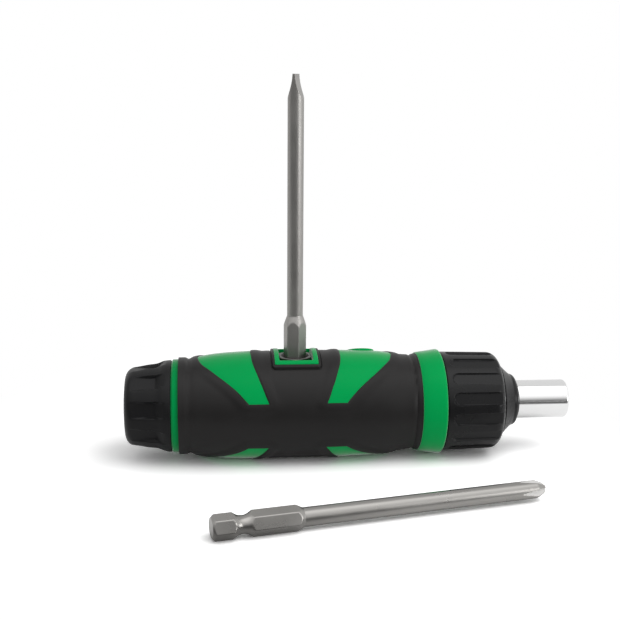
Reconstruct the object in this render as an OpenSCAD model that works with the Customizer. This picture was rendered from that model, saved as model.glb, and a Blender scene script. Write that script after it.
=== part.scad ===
// Ratcheting screwdriver with a side socket, so that a second bit across the handle makes a T-handle.
// The drive axis lies along +X, nose forward. The side socket's axis is the Z axis.
// The origin is on the flat under the grip, straight below the side socket.

/* [Grip] */
// Side socket's axis to the rear end of the rubber
grip_rear = 36.9; // [35:0.1:42]
// Side socket's axis to the front end of the rubber
grip_front = 39.2; // [37:0.1:44]
// Diameter of the grip at its belly
belly_d = 34.9; // [34:0.1:37]
// Diameter of the thumb groove behind the front ring
groove_d = 31.2; // [30.8:0.1:33]
// Thickness of the rubber
rubber_t = 1.8; // [1.5:0.1:1.9]
// Depth of the flat under the grip that stops it rolling
rest_flat = 0.55; // [0.3:0.05:0.8]

/* [Windows] */
// Side socket's axis to the near edge of a window, on top
window_inner = 14.3; // [13:0.1:15]
// Side socket's axis to the far edge of a window, on top
window_outer = 30.8; // [28:0.1:33]
// Angle from the top down to the end of an upper window, degrees
upper_window_deg = 73; // [65:1:78]
// Angle from the bottom up to the end of a lower window, degrees
lower_window_deg = 54; // [45:1:60]
// Depth of the window's face below the rubber
window_recess = 0.3; // [0.1:0.05:0.6]

/* [Front ring] */
// Length of the green ring in front of the rubber
ring_len = 7.6; // [6:0.1:9]
// Diameter of the ring at its front edge
ring_d = 33.7; // [33:0.1:33.7]
// Diameter of the ring where it meets the rubber
ring_back_d = 31.8; // [31.4:0.1:32.6]
// Radius of the ring's front edge
ring_edge_r = 0.8; // [0.4:0.1:1]

/* [Side socket] */
// Length of the raised frame along the handle
frame_len = 13.7; // [13:0.1:15]
// Width of the raised frame across the handle
frame_w = 17.3; // [16:0.1:18.5]
// Width of the frame's bars
frame_bar = 1.55; // [1.2:0.05:1.7]
// Height of the frame above the grip's belly
frame_proud = 0.4; // [0.3:0.05:0.6]
// Width of the rubber rim around the frame
rim_w = 1.4; // [1:0.1:1.8]
// Height of the rubber rim above the belly
rim_proud = 0.1; // [0.05:0.05:0.3]
// Width across flats of the steel socket bush
sleeve_af = 10; // [9.6:0.1:10.2]
// Depth of the bush's top below the frame's top at the middle
sleeve_drop = 1.45; // [0.8:0.05:2]
// Height of the socket's floor above the drive axis
socket_floor = 0.4; // [0.2:0.1:2]

/* [Bits] */
// Length of the flat-blade bit
slotted_len = 101.3; // [75:0.1:150]
// Length of the cross-tip bit
cross_len = 99.2; // [75:0.1:150]
// Width across flats of the hex drive
bit_af = 6.35; // [6.2:0.01:6.4]
// Length of a bit's hex shank
shank_len = 23.4; // [20:0.1:28]
// Length of the cone from the shank to the flat-blade bit's shaft
slotted_neck = 3.3; // [2:0.1:4]
// Length of the cone from the shank to the cross-tip bit's shaft
cross_neck = 2; // [1.6:0.1:4]
// Distance from a bit's end to the middle of its groove
groove_at = 8.5; // [8:0.1:10]
// Diameter left at the bottom of the groove
groove_root_d = 5; // [4.6:0.1:5.4]
// Diameter of the flat-blade bit's shaft
slotted_d = 5; // [4.5:0.1:5.4]
// Length of the ground faces of the flat blade
blade_len = 7.4; // [5:0.1:10]
// Thickness of the flat blade at its tip
blade_t = 0.8; // [0.6:0.1:1.2]
// Diameter of the cross-tip bit's shaft
cross_d = 5.3; // [4.8:0.1:5.6]
// Length of the flutes of the cross tip
flute_len = 8.2; // [7:0.1:10]
// Turn of the upright bit and its socket about the Z axis, degrees
bit_clock_deg = -15; // [-30:1:30]
// Place of the lying bit's end behind the side socket
lying_back = 26.9; // [20:0.1:40]
// Place of the lying bit's end beside the drive axis
lying_side = 65.8; // [55:0.1:80]
// Turn of the lying bit away from the drive axis, degrees
lying_deg = 12.7; // [0:0.1:18]

/* [Rear collar and cap] */
// Length of the thin green ring behind the rubber
collar_len = 2.2; // [1.6:0.1:3]
// Step from the rubber down to the thin green ring
collar_step = 0.6; // [0.4:0.1:0.8]
// Wall of the collar round the cap's thread
collar_wall = 1.05; // [0.8:0.05:1.4]
// Wall of the handle's body round the collar
rear_wall = 1.58; // [1.3:0.02:2]
// Length of the cap
cap_len = 15; // [14:0.1:18]
// Step from the thin green ring down to the cap
cap_step = 0.2; // [0.1:0.05:0.4]
// Narrowing of the cap from its front to where its end begins to round
cap_taper = 4; // [3.2:0.1:4.6]
// Number of finger recesses round the cap
cap_recesses = 9; // [6:1:10]
// Width of a finger recess
recess_w = 5; // [4:0.1:5.6]
// Depth of a finger recess where the cap's end begins to round
recess_depth = 0.6; // [0.4:0.05:0.9]
// Front of the cap to the front end of a finger recess
recess_front = 1.6; // [1:0.1:3]
// Length of the cap's threaded spigot
spigot_len = 8; // [7.5:0.1:9]
// Diameter of the spigot under its thread
spigot_d = 19.2; // [18.6:0.1:19.4]
// Pitch of the cap's thread
cap_pitch = 3; // [2.8:0.1:3.4]
// Diameter of the storage chamber
chamber_d = 19; // [17:0.1:19.4]

/* [Ratchet] */
// Length of the ratchet housing inside the handle
housing_in = 28.6; // [26:0.1:29]
// Diameter of the ratchet housing inside the handle
housing_d = 23; // [22.4:0.1:23.2]
// Length of the housing's hub in front of the handle
hub_len = 10.2; // [10:0.1:10.6]
// Diameter of the housing's hub
hub_d = 22; // [21.8:0.1:22.2]
// Number of ratchet teeth
teeth = 24; // [24:12:36]
// Diameter over the ratchet teeth
gear_d = 12.8; // [12.6:0.1:12.9]
// Depth of the ratchet teeth
tooth_h = 0.85; // [0.8:0.05:0.9]
// Width of the gear along the axis
gear_w = 5; // [4:0.1:5.2]
// Diameter of the spindle
spindle_d = 8; // [7.6:0.1:8.2]
// Travel of a pawl from the middle to either end
pawl_travel = 0.55; // [0.4:0.05:0.6]
// Width of a pawl
pawl_w = 5; // [4:0.1:5.4]

/* [Selector] */
// Length of the selector ring
selector_len = 18.9; // [18.4:0.1:21]
// Diameter of the selector ring at its rear
selector_d = 32; // [31:0.1:33]
// Diameter of the selector ring before its rounded front
selector_front_d = 31.2; // [30.4:0.1:31.6]
// Radius of the selector's front edge
selector_edge_r = 3.4; // [2.6:0.1:3.6]
// Number of flutes round the selector
flutes = 15; // [12:1:16]
// Width of a flute
flute_w = 3.9; // [3:0.1:4.2]
// Depth of a flute at its middle
flute_depth = 0.7; // [0.4:0.05:0.9]
// Plain band behind the flutes
flute_start = 1.8; // [1.2:0.1:3]
// Turn of the selector from lock to forward or reverse, degrees
selector_throw = 20; // [14:1:22]

/* [Nose and chuck] */
// Length of the nose in front of the selector
nose_len = 5.9; // [5:0.1:7.5]
// Diameter of the nose at its flange
nose_d = 23.6; // [22:0.1:24.2]
// Diameter of the nose at its tip
nose_tip_d = 16.8; // [16:0.1:17.6]
// Length of the chuck that shows
chuck_out = 16.6; // [14:0.1:24]
// Diameter of the chuck
chuck_d = 12.4; // [11.8:0.1:12.6]
// Depth of the chuck's hex socket
socket_depth = 14; // [12.8:0.1:14.6]

/* [Fits] */
// Gap between pieces that sit fast in each other, per side
seat_gap = 0.02; // [0.01:0.01:0.04]
// Gap between pieces that turn in each other, per side
run_gap = 0.06; // [0.03:0.01:0.1]
// Gap between end faces that pass each other
end_gap = 0.3; // [0.2:0.05:0.4]
// Gap between the hex of a bit and its socket, per side
hex_gap = 0.05; // [0.03:0.01:0.08]

/* [Hidden] */
$fn = 72;

// How far every cut runs past the face that it opens
overrun = 1;
// Points along a sampled curve, steps round a window's span and steps round one turn of a thread
curve_steps = 13;
window_steps = 20;
thread_steps = 20;
arc_steps = 6;

// Main radii and the height of the drive axis over the flat
belly_r = belly_d / 2;
groove_r = groove_d / 2;
axis_h = belly_r - rest_flat;

// Drop of the grip from its belly, against the way along it: rear half and front half
rear_drop_shares = [[0, 0], [0.33, 0], [0.52, 0.1], [0.705, 0.37], [0.84, 0.76], [0.927, 0.96], [1, 1]];
front_drop_shares = [[0, 0], [0.31, 0.02], [0.51, 0.135], [0.69, 0.35], [0.82, 0.73], [0.913, 1], [1, 0.89]];
// Edges of a window against its span: near edge and far edge
inner_edge_shares = [[0, 1], [0.27, 0.972], [0.41, 0.93], [0.62, 0.825], [0.82, 0.713], [1, 0.643]];
outer_edge_shares = [[0, 1], [0.16, 0.98], [0.27, 0.955], [0.41, 0.888], [0.55, 0.802], [0.685, 0.702],
    [0.82, 0.602], [0.96, 0.515], [1, 0.494]];

// Stations along the drive axis
x_collar = -grip_rear - collar_len;
cap_gap = 0.1;
x_cap = x_collar - cap_gap;
x_cap_end = x_cap - cap_len;
x_ring = grip_front + ring_len;
x_sel = x_ring + end_gap;
x_sel_front = x_sel + selector_len;
x_nose = x_sel_front + end_gap;
x_nose_tip = x_nose + nose_len;
x_chuck_end = x_nose_tip + chuck_out;
x_socket = x_chuck_end - socket_depth;
x_hub = x_sel + hub_len;
x_housing = x_ring - housing_in;

// Side socket
frame_r = belly_r + frame_proud;
frame_pocket = 3.2;
sleeve_top = frame_r - sleeve_drop;
sleeve_corner_d = sleeve_af / cos(30);
sleeve_lead_d = 8.7;
sleeve_lead_h = 1.1;
magnet_d = 6;
t_magnet_t = 2;
bit_foot = socket_floor + t_magnet_t;
hex_corner_d = bit_af / cos(30);
hex_bore_corner_d = (bit_af + 2 * hex_gap) / cos(30);
bit_chamfer = 0.8;
bit_groove_r = 3.75;

// Cross tip: point of the cone, and the roots and opening of its flutes
cross_point_d = 1.9;
cross_cone = 2.9;
flute_root_r = 0.6;
flute_half_deg = 46;

// Rear collar, its thread and the cap's seal
collar_edge = 0.5;
collar_sleeve_len = 9.4;
thread_h = 1;
thread_root_w = 1.5;
thread_crest_w = 0.8;
thread_clear = 0.35;
thread_embed = 0.3;
thread_turns = 1.5;
thread_start = 2.2;
collar_bore_d = spigot_d + 2 * thread_h + 2 * thread_clear;
collar_crest_d = spigot_d + 2 * thread_clear;
collar_sleeve_d = collar_bore_d + 2 * collar_wall;
grip_rear_d = collar_sleeve_d + 2 * (seat_gap + rear_wall + rubber_t);
collar_d = grip_rear_d - 2 * collar_step;
seal_wire = 1.2;
neck_d = collar_bore_d - 2 * run_gap;
neck_len = seal_wire - cap_gap;
seal_r = neck_d / 2 + run_gap + seal_wire / 2;
seal_seat_d = 2 * seal_r + seal_wire + 2 * run_gap;
chamber_front = 8.6;

// Shoulder screw that locks the ratchet housing in the handle, its boss and its cover
boss_d = 9.4;
boss_proud = 0.15;
boss_rim = 0.85;
cover_drop = 0.3;
cover_t = 1.3;
screw_d = 4;
screw_len = 5.2;
shoulder_d = 6;
shoulder_in = 0.5;
screw_slot = 1;
screw_slot_depth = 1.1;
boss_rear = 3.4;
boss_turn_deg = -23;
x_screw = x_housing + boss_rear;
boss_top = grip_r(x_screw) - window_recess + boss_proud;
cover_under = boss_top - cover_drop - cover_t;
shoulder_seat = housing_d / 2 - shoulder_in;

// Cap: diameters, wall, rounded end and dome, and its line from the rounded end to its front
cap_d = collar_d - 2 * cap_step;
cap_rear_d = cap_d - cap_taper;
recess_floor_d = cap_rear_d - 2 * recess_depth;
cap_wall = 2;
cap_end_r = 3.6;
cap_dome = 0.5;
cap_edge = 0.3;
cap_steps = 10;
cap_line_shares = [[0, 0], [0.33, 0.3], [0.56, 0.45], [0.67, 0.6], [0.78, 0.84], [0.9, 0.96], [1, 1]];
// Length of the run-out at the front of a finger recess
recess_runout = 3.2;
recess_turn_deg = 39;
x_round = x_cap_end + cap_end_r + cap_dome;

// Ratchet housing
guide_len = 2.3;
guide_step = 1;
guide_d = hub_d + 2 * guide_step;
gear_in = 2.4;
x_gear = x_sel + gear_in;
washer_t = 0.5;
chamber_clear = 0.3;
nose_hub_d = 13.8;
bush_in = 8;
bush_len = 8;
bush_wall = 2;
journal_d = 6;
ball_d = 3.5;
x_bush = x_housing + bush_in;
spigot_out = 10.5;
shaft_spigot_d = 7.2;
sleeve_in = 2.2;
x_sleeve = x_hub + sleeve_in;
key_w = 1.6;
key_share = 0.5;
key_h = 1.6;

// Pawls: height of the block, its nose and its post, and the slots they run in
pawl_h = 4;
pawl_slide = 0.05;
nose_h = 1.05;
nose_tip_w = 0.15;
nose_lead = 0.25;
nose_flank = 0.5;
nose_ramp = 0.53;
nose_ramp_h = 0.78;
pawl_bite = 0.23;
post_d = 1.2;
post_in = 2.83;
post_len = 4.5;
gear_r = gear_d / 2;
pawl_tip_r = gear_r - pawl_bite;
post_r = pawl_tip_r + post_in;
pawl_len = gear_w - 2 * pawl_slide;
// Half widths of a tooth as shares of the pitch angle: at its tip and at its root
tooth_tip_share = 0.133;
tooth_root_share = 0.287;
pawl_wire = 0.8;
pawl_wire_gap = 0.03;
pawl_spring_deg = 320;
x_pawl_spring = x_gear + gear_w / 2;

// Selector: bore, cam disc, front wall and detent
selector_bore_d = guide_d + 2 * run_gap;
cam_t = 2;
cam_in = end_gap;
cam_shoulder = 0.6;
cam_bore_gap = 0.15;
cam_slot_gap = 0.1;
cam_slot_free = 0.7;
cam_slot_ends_deg = 6;
cam_steps = 16;
cam_lug_w = 2;
cam_lug_h = 0.8;
cam_lug_deg = 45;
x_cam = x_hub + cam_in;
front_wall = 2.6;
guide_nose_d = 18;
selector_edge = 0.3;
flute_end_r = flute_w / 2;
flute_fall = (selector_d - selector_front_d) / 2;
flute_lean = atan(flute_fall / (selector_len - selector_edge_r));
flute_lift = flute_fall * (1 - (flute_start + flute_end_r) / (selector_len - selector_edge_r));
detent_t = 0.4;
detent_half = 3.6;
detent_in = 0.3;
detent_len = 1.5;
detent_pocket = 1.4;
detent_rest = 0.05;
detent_out = 0.35;
detent_foot = 1.4;
detent_tip = 0.45;
detent_gap = 0.15;

// Nose and chuck
nose_flange = 0.3;
nose_edge_r = 0.8;
nose_sag_share = 0.14;
nose_steps = 6;
chuck_step = 0.3;
journal_r = chuck_d / 2 - chuck_step;
chuck_edge = 0.9;
chuck_lead = 0.6;
chuck_magnet_t = 3;
chuck_web = 1.4;
clip_w = 0.8;
clip_in_r = 3.1;
clip_t = 0.7;
clip_room = 0.1;
clip_deg = 320;

// Smooth curve through a table of [place, value] rows
function slope(tab, i) =
    let (lo = max(i - 1, 0), hi = min(i + 1, len(tab) - 1))
    (tab[hi][1] - tab[lo][1]) / (tab[hi][0] - tab[lo][0]);
function piece_of(tab, t, i = 0) = i >= len(tab) - 2 || t <= tab[i + 1][0] ? i : piece_of(tab, t, i + 1);
function smooth(tab, t) =
    let (i = piece_of(tab, t), w = tab[i + 1][0] - tab[i][0], s = (t - tab[i][0]) / w)
    (2 * s ^ 3 - 3 * s ^ 2 + 1) * tab[i][1] + (s ^ 3 - 2 * s ^ 2 + s) * w * slope(tab, i)
    + (3 * s ^ 2 - 2 * s ^ 3) * tab[i + 1][1] + (s ^ 3 - s ^ 2) * w * slope(tab, i + 1);

// Radius of the grip at a station along the axis
function grip_r(x) = x < 0
    ? belly_r - (belly_r - grip_rear_d / 2) * smooth(rear_drop_shares, -x / grip_rear)
    : belly_r - (belly_r - groove_r) * smooth(front_drop_shares, x / grip_front);
rear_stations = [for (i = [0 : curve_steps]) -grip_rear * (1 - i / curve_steps)];
front_stations = [for (i = [1 : curve_steps]) grip_front * i / curve_steps];
grip_stations = concat(rear_stations, front_stations);
function grip_line(inset) = [for (x = grip_stations) [grip_r(x) - inset, x]];

// Points on an arc about a centre
function arc(cx, cy, r, a0, a1) =
    [for (i = [0 : arc_steps]) let (a = a0 + (a1 - a0) * i / arc_steps) [cx + r * cos(a), cy + r * sin(a)]];
function reversed(list) = [for (i = [len(list) - 1 : -1 : 0]) list[i]];

// Faces of a solid swept through rings of points
function sweep_faces(rings, sides) = concat(
    [[for (k = [sides - 1 : -1 : 0]) k]],
    [for (j = [0 : rings - 2], k = [0 : sides - 1], half = [0, 1])
        let (a = j * sides + k, b = j * sides + (k + 1) % sides)
        half == 0 ? [a, b, b + sides] : [a, b + sides, a + sides]],
    [[for (k = [0 : sides - 1]) (rings - 1) * sides + k]]);

module lift() {
    translate([0, 0, axis_h]) children();
}

// Solid of revolution about the drive axis, from [radius, station] points
module lathe(points) {
    rotate([0, 90, 0]) rotate_extrude() polygon(points);
}

// Round bar on the drive axis between two stations
module bar(r, from, to) {
    translate([from, 0, 0]) rotate([0, 90, 0]) cylinder(r = r, h = to - from);
}

// Places a shape drawn about +Z on the drive axis, with its +Y kept
module on_axis(x) {
    translate([x, 0, 0]) rotate([0, 90, 0]) children();
}

// One window's wedge, wrapped over the top and grown by a gap
module window(span, grow, r_in, r_out) {
    reach = span + grow / belly_r * 180 / PI;
    rings = [for (j = [0 : window_steps])
        let (a = reach * (2 * j / window_steps - 1), s = min(abs(a) / span, 1),
            near = window_inner * smooth(inner_edge_shares, s) - grow,
            far = window_outer * smooth(outer_edge_shares, s) + grow)
        each [for (p = [[near, r_in], [far, r_in], [far, r_out], [near, r_out]])
            [p[0], p[1] * sin(a), p[1] * cos(a)]]];
    polyhedron(rings, sweep_faces(window_steps + 1, 4));
}

// All four windows
module windows(grow, r_in, r_out) {
    for (side = [0, 1]) mirror([side, 0, 0]) {
        window(upper_window_deg, grow, r_in, r_out);
        rotate([180, 0, 0]) window(lower_window_deg, grow, r_in, r_out);
    }
}

module hex_bar(corner_d, h) {
    cylinder(d = corner_d, h = h, $fn = 6);
}

// Block centred across the handle, from one height above the axis to another
module top_block(l, w, low, high) {
    translate([-l / 2, -w / 2, low]) cube([l, w, high - low]);
}

// Cut that leaves the flat under the grip
module rest_cut() {
    translate([-grip_rear - overrun, -belly_r, -belly_r - overrun])
        cube([grip_rear + grip_front + overrun, belly_d, rest_flat + overrun]);
}

// Place on the boss's axis, at a height over the drive axis
module at_boss(h) {
    rotate([boss_turn_deg, 0, 0]) translate([x_screw, 0, h]) children();
}

module handle_core() {
    seat = rubber_t + seat_gap;
    ring_r = ring_d / 2;
    body = concat([[0, -grip_rear]], grip_line(seat), [[ring_back_d / 2, grip_front]],
        [[ring_r, x_ring - ring_edge_r]],
        arc(ring_r - ring_edge_r, x_ring - ring_edge_r, ring_edge_r, 0, 90),
        [[0, x_ring]]);
    faces = concat([[0, -grip_rear]], grip_line(window_recess), [[0, grip_front]]);
    window_root = min(groove_r, grip_rear_d / 2) - rubber_t - overrun;
    color("#0a9a4e") lift() difference() {
        union() {
            lathe(body);
            intersection() {
                lathe(faces);
                windows(0, window_root, belly_r + overrun);
            }
            intersection() {
                bar(frame_r, -frame_len, frame_len);
                top_block(frame_len, frame_w, socket_floor, frame_r);
            }
            at_boss(0) cylinder(d = boss_d, h = boss_top);
        }
        // Opening of the frame and the bush's hex pocket
        top_block(frame_len - 2 * frame_bar, frame_w - 2 * frame_bar, frame_r - frame_pocket,
            frame_r + overrun);
        translate([0, 0, socket_floor]) rotate([0, 0, 30])
            hex_bar(sleeve_corner_d + 2 * seat_gap, frame_r);
        // Seat of the rear collar and the storage chamber
        bar(collar_sleeve_d / 2 + seat_gap, -grip_rear - overrun, -grip_rear + collar_sleeve_len);
        bar(chamber_d / 2, -grip_rear, -chamber_front);
        // Bore for the ratchet housing
        bar(housing_d / 2 + seat_gap, x_housing - seat_gap, x_ring + overrun);
        // Hole for the screw's shoulder and the cover's pocket
        at_boss(shoulder_seat) cylinder(d = shoulder_d + 2 * seat_gap, h = boss_top);
        at_boss(cover_under - seat_gap) cylinder(d = boss_d - 2 * boss_rim, h = boss_top);
        rest_cut();
    }
}

module rubber_grip() {
    skin = concat(grip_line(0), reversed(grip_line(rubber_t)));
    color("#2b2b2d") lift() difference() {
        union() {
            lathe(skin);
            intersection() {
                difference() {
                    bar(belly_r + rim_proud, -frame_len, frame_len);
                    bar(belly_r - rubber_t / 2, -frame_len - overrun, frame_len + overrun);
                }
                top_block(frame_len + 2 * rim_w, frame_w + 2 * rim_w, 0, belly_r + overrun);
            }
        }
        windows(seat_gap, groove_r - 2 * rubber_t, belly_r + overrun);
        top_block(frame_len + 2 * seat_gap, frame_w + 2 * seat_gap, 0, frame_r + overrun);
        rest_cut();
    }
}

// Helical rib between two radii, rising along +Z with a right-hand lead
module thread_rib(r_a, w_a, r_b, w_b, turns) {
    steps = turns * thread_steps;
    rings = [for (j = [0 : steps])
        let (t = 360 * j / thread_steps, z = cap_pitch * j / thread_steps)
        each [for (p = [[r_a, -w_a / 2], [r_b, -w_b / 2], [r_b, w_b / 2], [r_a, w_a / 2]])
            [p[0] * cos(t), p[0] * sin(t), z + p[1]]]];
    polyhedron(rings, sweep_faces(steps + 1, 4));
}

module rear_collar() {
    r = collar_d / 2;
    bore = collar_bore_d / 2;
    ring = [[bore, x_collar], [r - collar_edge, x_collar], [r, x_collar + collar_edge],
        [r, -grip_rear - seat_gap], [collar_sleeve_d / 2, -grip_rear - seat_gap],
        [collar_sleeve_d / 2, -grip_rear + collar_sleeve_len - seat_gap],
        [bore, -grip_rear + collar_sleeve_len - seat_gap]];
    rib_root = bore + thread_embed;
    color("#08804a") lift() difference() {
        union() {
            lathe(ring);
            on_axis(x_cap + thread_start + cap_pitch / 2)
                thread_rib(collar_crest_d / 2, thread_crest_w, rib_root, thread_root_w, thread_turns);
        }
        // Seat of the seal at the collar's mouth
        bar(seal_seat_d / 2, x_collar - overrun, x_collar + seal_wire);
    }
}

// One finger recess of the cap, cut from above: a level floor that runs out towards the front
module recess() {
    floor_r = recess_floor_d / 2;
    high = cap_d / 2 + overrun;
    front = x_cap - recess_front;
    translate([0, recess_w / 2, 0]) rotate([90, 0, 0]) linear_extrude(height = recess_w)
        polygon([[x_cap_end - overrun, floor_r], [front - recess_runout, floor_r], [front, cap_d / 2],
            [front, high], [x_cap_end - overrun, high]]);
}

module rear_cap() {
    r = cap_d / 2;
    rear_r = cap_rear_d / 2;
    line = [for (i = [1 : cap_steps]) let (t = i / cap_steps)
        [rear_r + (r - rear_r) * smooth(cap_line_shares, t), x_round + (x_cap - cap_edge - x_round) * t]];
    shell = concat([[0, x_cap_end]], [[rear_r - cap_end_r, x_cap_end + cap_dome]],
        arc(rear_r - cap_end_r, x_round, cap_end_r, -90, 0), line, [[r - cap_edge, x_cap]],
        [[neck_d / 2, x_cap], [neck_d / 2, x_cap + neck_len], [spigot_d / 2, x_cap + neck_len]],
        [[spigot_d / 2, x_cap + spigot_len], [0, x_cap + spigot_len]]);
    color("#252527") lift() difference() {
        union() {
            lathe(shell);
            on_axis(x_cap + thread_start)
                thread_rib(spigot_d / 2 - thread_embed, thread_root_w, spigot_d / 2 + thread_h,
                    thread_crest_w, thread_turns);
        }
        bar(spigot_d / 2 - cap_wall, x_cap_end + cap_wall + cap_dome, x_cap + spigot_len + overrun);
        for (i = [0 : cap_recesses - 1]) rotate([recess_turn_deg + 360 * i / cap_recesses, 0, 0]) recess();
    }
}

module cap_seal() {
    color("#1a1a1a") lift() on_axis(x_cap + run_gap + seal_wire / 2)
        rotate_extrude() translate([seal_r, 0]) circle(d = seal_wire);
}

module t_socket_sleeve() {
    h = sleeve_top - socket_floor;
    color("#6f7073") lift() translate([0, 0, socket_floor]) difference() {
        rotate([0, 0, 30]) intersection() {
            hex_bar(sleeve_corner_d, h);
            cylinder(d1 = sleeve_corner_d + 2 * h, d2 = sleeve_corner_d - sleeve_lead_h / 2, h = h);
        }
        translate([0, 0, -overrun]) rotate([0, 0, bit_clock_deg])
            hex_bar(hex_bore_corner_d, h + 2 * overrun);
        translate([0, 0, h - sleeve_lead_h])
            cylinder(d1 = bit_af, d2 = sleeve_lead_d, h = sleeve_lead_h + seat_gap);
    }
}

module t_socket_magnet() {
    color("#8a8d90") lift() translate([0, 0, socket_floor])
        cylinder(d = magnet_d, h = t_magnet_t - seat_gap);
}

// Hex shank with its groove and cone, then a round shaft to the given length
module bit_blank(shaft_d, neck, l) {
    corner_r = hex_corner_d / 2;
    limit = [[0, 0], [bit_af / 2 - bit_chamfer / 2, 0], [corner_r + overrun, bit_chamfer + overrun],
        [corner_r + overrun, shank_len - overrun], [corner_r, shank_len],
        [shaft_d / 2, shank_len + neck], [0, shank_len + neck]];
    difference() {
        union() {
            intersection() {
                hex_bar(hex_corner_d, shank_len + neck);
                rotate_extrude() polygon(limit);
            }
            translate([0, 0, shank_len]) cylinder(d = shaft_d, h = l - shank_len);
        }
        translate([0, 0, groove_at]) rotate_extrude()
            translate([groove_root_d / 2 + bit_groove_r, 0]) circle(r = bit_groove_r);
    }
}

module slotted_bit() {
    r = slotted_d / 2;
    fall = (r - blade_t / 2) / blade_len;
    wide = r + overrun;
    root = slotted_len - blade_len - overrun / fall;
    blade = [[-wide, -overrun], [wide, -overrun], [wide, root], [blade_t / 2, slotted_len],
        [-blade_t / 2, slotted_len], [-wide, root]];
    color("#9a9a98") lift() translate([0, 0, bit_foot]) rotate([0, 0, bit_clock_deg]) intersection() {
        bit_blank(slotted_d, slotted_neck, slotted_len);
        union() {
            translate([-hex_corner_d, -hex_corner_d, -overrun])
                cube([2 * hex_corner_d, 2 * hex_corner_d, shank_len + slotted_neck + overrun]);
            translate([0, hex_corner_d, 0]) rotate([90, 0, 0])
                linear_extrude(height = 2 * hex_corner_d) polygon(blade);
        }
    }
}

module phillips_bit() {
    r = cross_d / 2;
    point_r = cross_point_d / 2;
    tip = [[0, -overrun], [r + overrun, -overrun], [r + overrun, cross_len - cross_cone],
        [r, cross_len - cross_cone], [point_r, cross_len], [0, cross_len]];
    lean = atan((r - flute_root_r) / flute_len);
    open = r * tan(flute_half_deg);
    color("#a3a3a1") translate([-lying_back, -lying_side, bit_af / 2]) rotate([0, 0, lying_deg])
        rotate([0, 90, 0]) rotate([0, 0, 30]) difference() {
            intersection() {
                bit_blank(cross_d, cross_neck, cross_len);
                union() {
                    cylinder(r = hex_corner_d, h = shank_len + cross_neck);
                    rotate_extrude() polygon(tip);
                }
            }
            for (q = [0 : 90 : 270]) rotate([0, 0, q - 30]) translate([flute_root_r, 0, cross_len])
                rotate([0, -lean, 0]) translate([0, 0, -2 * flute_len])
                    linear_extrude(height = 3 * flute_len)
                        polygon([[0, 0], [2 * r, -2 * open], [2 * r, 2 * open]]);
        }
}

module housing_screw() {
    shoulder_h = cover_under - seat_gap - shoulder_seat;
    color("#7c7f82") lift() at_boss(shoulder_seat) difference() {
        union() {
            cylinder(d = shoulder_d, h = shoulder_h);
            translate([0, 0, -screw_len]) cylinder(d = screw_d, h = screw_len + shoulder_h / 2);
        }
        for (q = [0, 90]) rotate([0, 0, q])
            translate([-shoulder_d / 3, -screw_slot / 2, shoulder_h - screw_slot_depth])
                cube([2 * shoulder_d / 3, screw_slot, screw_slot_depth + overrun]);
    }
}

module screw_cover() {
    color("#0b8f49") lift() at_boss(cover_under)
        cylinder(d = boss_d - 2 * boss_rim - 2 * seat_gap, h = cover_t);
}

module ratchet_housing() {
    gear_room = gear_r + chamber_clear;
    x_wash = x_gear + gear_w;
    x_nose_hub = x_wash + washer_t + 2 * seat_gap;
    guide_r = guide_d / 2;
    body = [[0, x_housing], [housing_d / 2, x_housing], [housing_d / 2, x_ring + seat_gap],
        [guide_r, x_ring + seat_gap], [guide_r, x_sel + guide_len], [hub_d / 2, x_sel + guide_len],
        [hub_d / 2, x_hub], [0, x_hub]];
    wire_in = pawl_tip_r + pawl_h;
    color("#4b4d50") lift() difference() {
        lathe(body);
        // Seat of the ball, bush bore, shaft bore, gear chamber and seat of the nose
        bar(ball_d / 2 + run_gap, x_bush - ball_d - 2 * run_gap, x_bush + overrun);
        bar(journal_d / 2 + bush_wall + seat_gap, x_bush, x_gear + overrun);
        bar(gear_room, x_gear - run_gap, x_hub + overrun);
        bar(nose_hub_d / 2 + seat_gap, x_nose_hub - seat_gap, x_hub + overrun);
        // Tapped hole for the screw and the seat of its shoulder
        at_boss(shoulder_seat - screw_len - end_gap)
            cylinder(d = screw_d + 2 * seat_gap, h = screw_len + housing_d);
        at_boss(shoulder_seat - seat_gap) cylinder(d = shoulder_d + 2 * seat_gap, h = housing_d);
        // Slots for the two pawls
        for (side = [0, 1]) mirror([0, side, 0])
            translate([x_gear - run_gap, gear_r / 2, -pawl_w / 2 - pawl_slide])
                cube([x_hub - x_gear + overrun, hub_d / 2, pawl_w + 2 * pawl_slide]);
        // Groove for the pawls' spring
        on_axis(x_pawl_spring - pawl_wire / 2 - run_gap) difference() {
            cylinder(d = hub_d + overrun, h = pawl_wire + 2 * run_gap);
            translate([0, 0, -overrun]) cylinder(r = wire_in - pawl_wire_gap, h = pawl_wire + 3 * overrun);
        }
        // Pocket for the detent leaf
        on_axis(x_sel + detent_in - run_gap)
            translate([guide_r - detent_pocket, -detent_half - detent_gap, 0])
                cube([detent_pocket + overrun, 2 * (detent_half + detent_gap), detent_len + 2 * run_gap]);
    }
}

module spindle_bush() {
    r = journal_d / 2;
    color("#b08d57") lift() lathe([[r + run_gap, x_bush + seat_gap], [r + bush_wall, x_bush + seat_gap],
        [r + bush_wall, x_bush + bush_len], [r + run_gap, x_bush + bush_len]]);
}

module thrust_ball() {
    color("#c0c2c4") lift() translate([x_bush - ball_d / 2 - run_gap, 0, 0]) sphere(d = ball_d);
}

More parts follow.
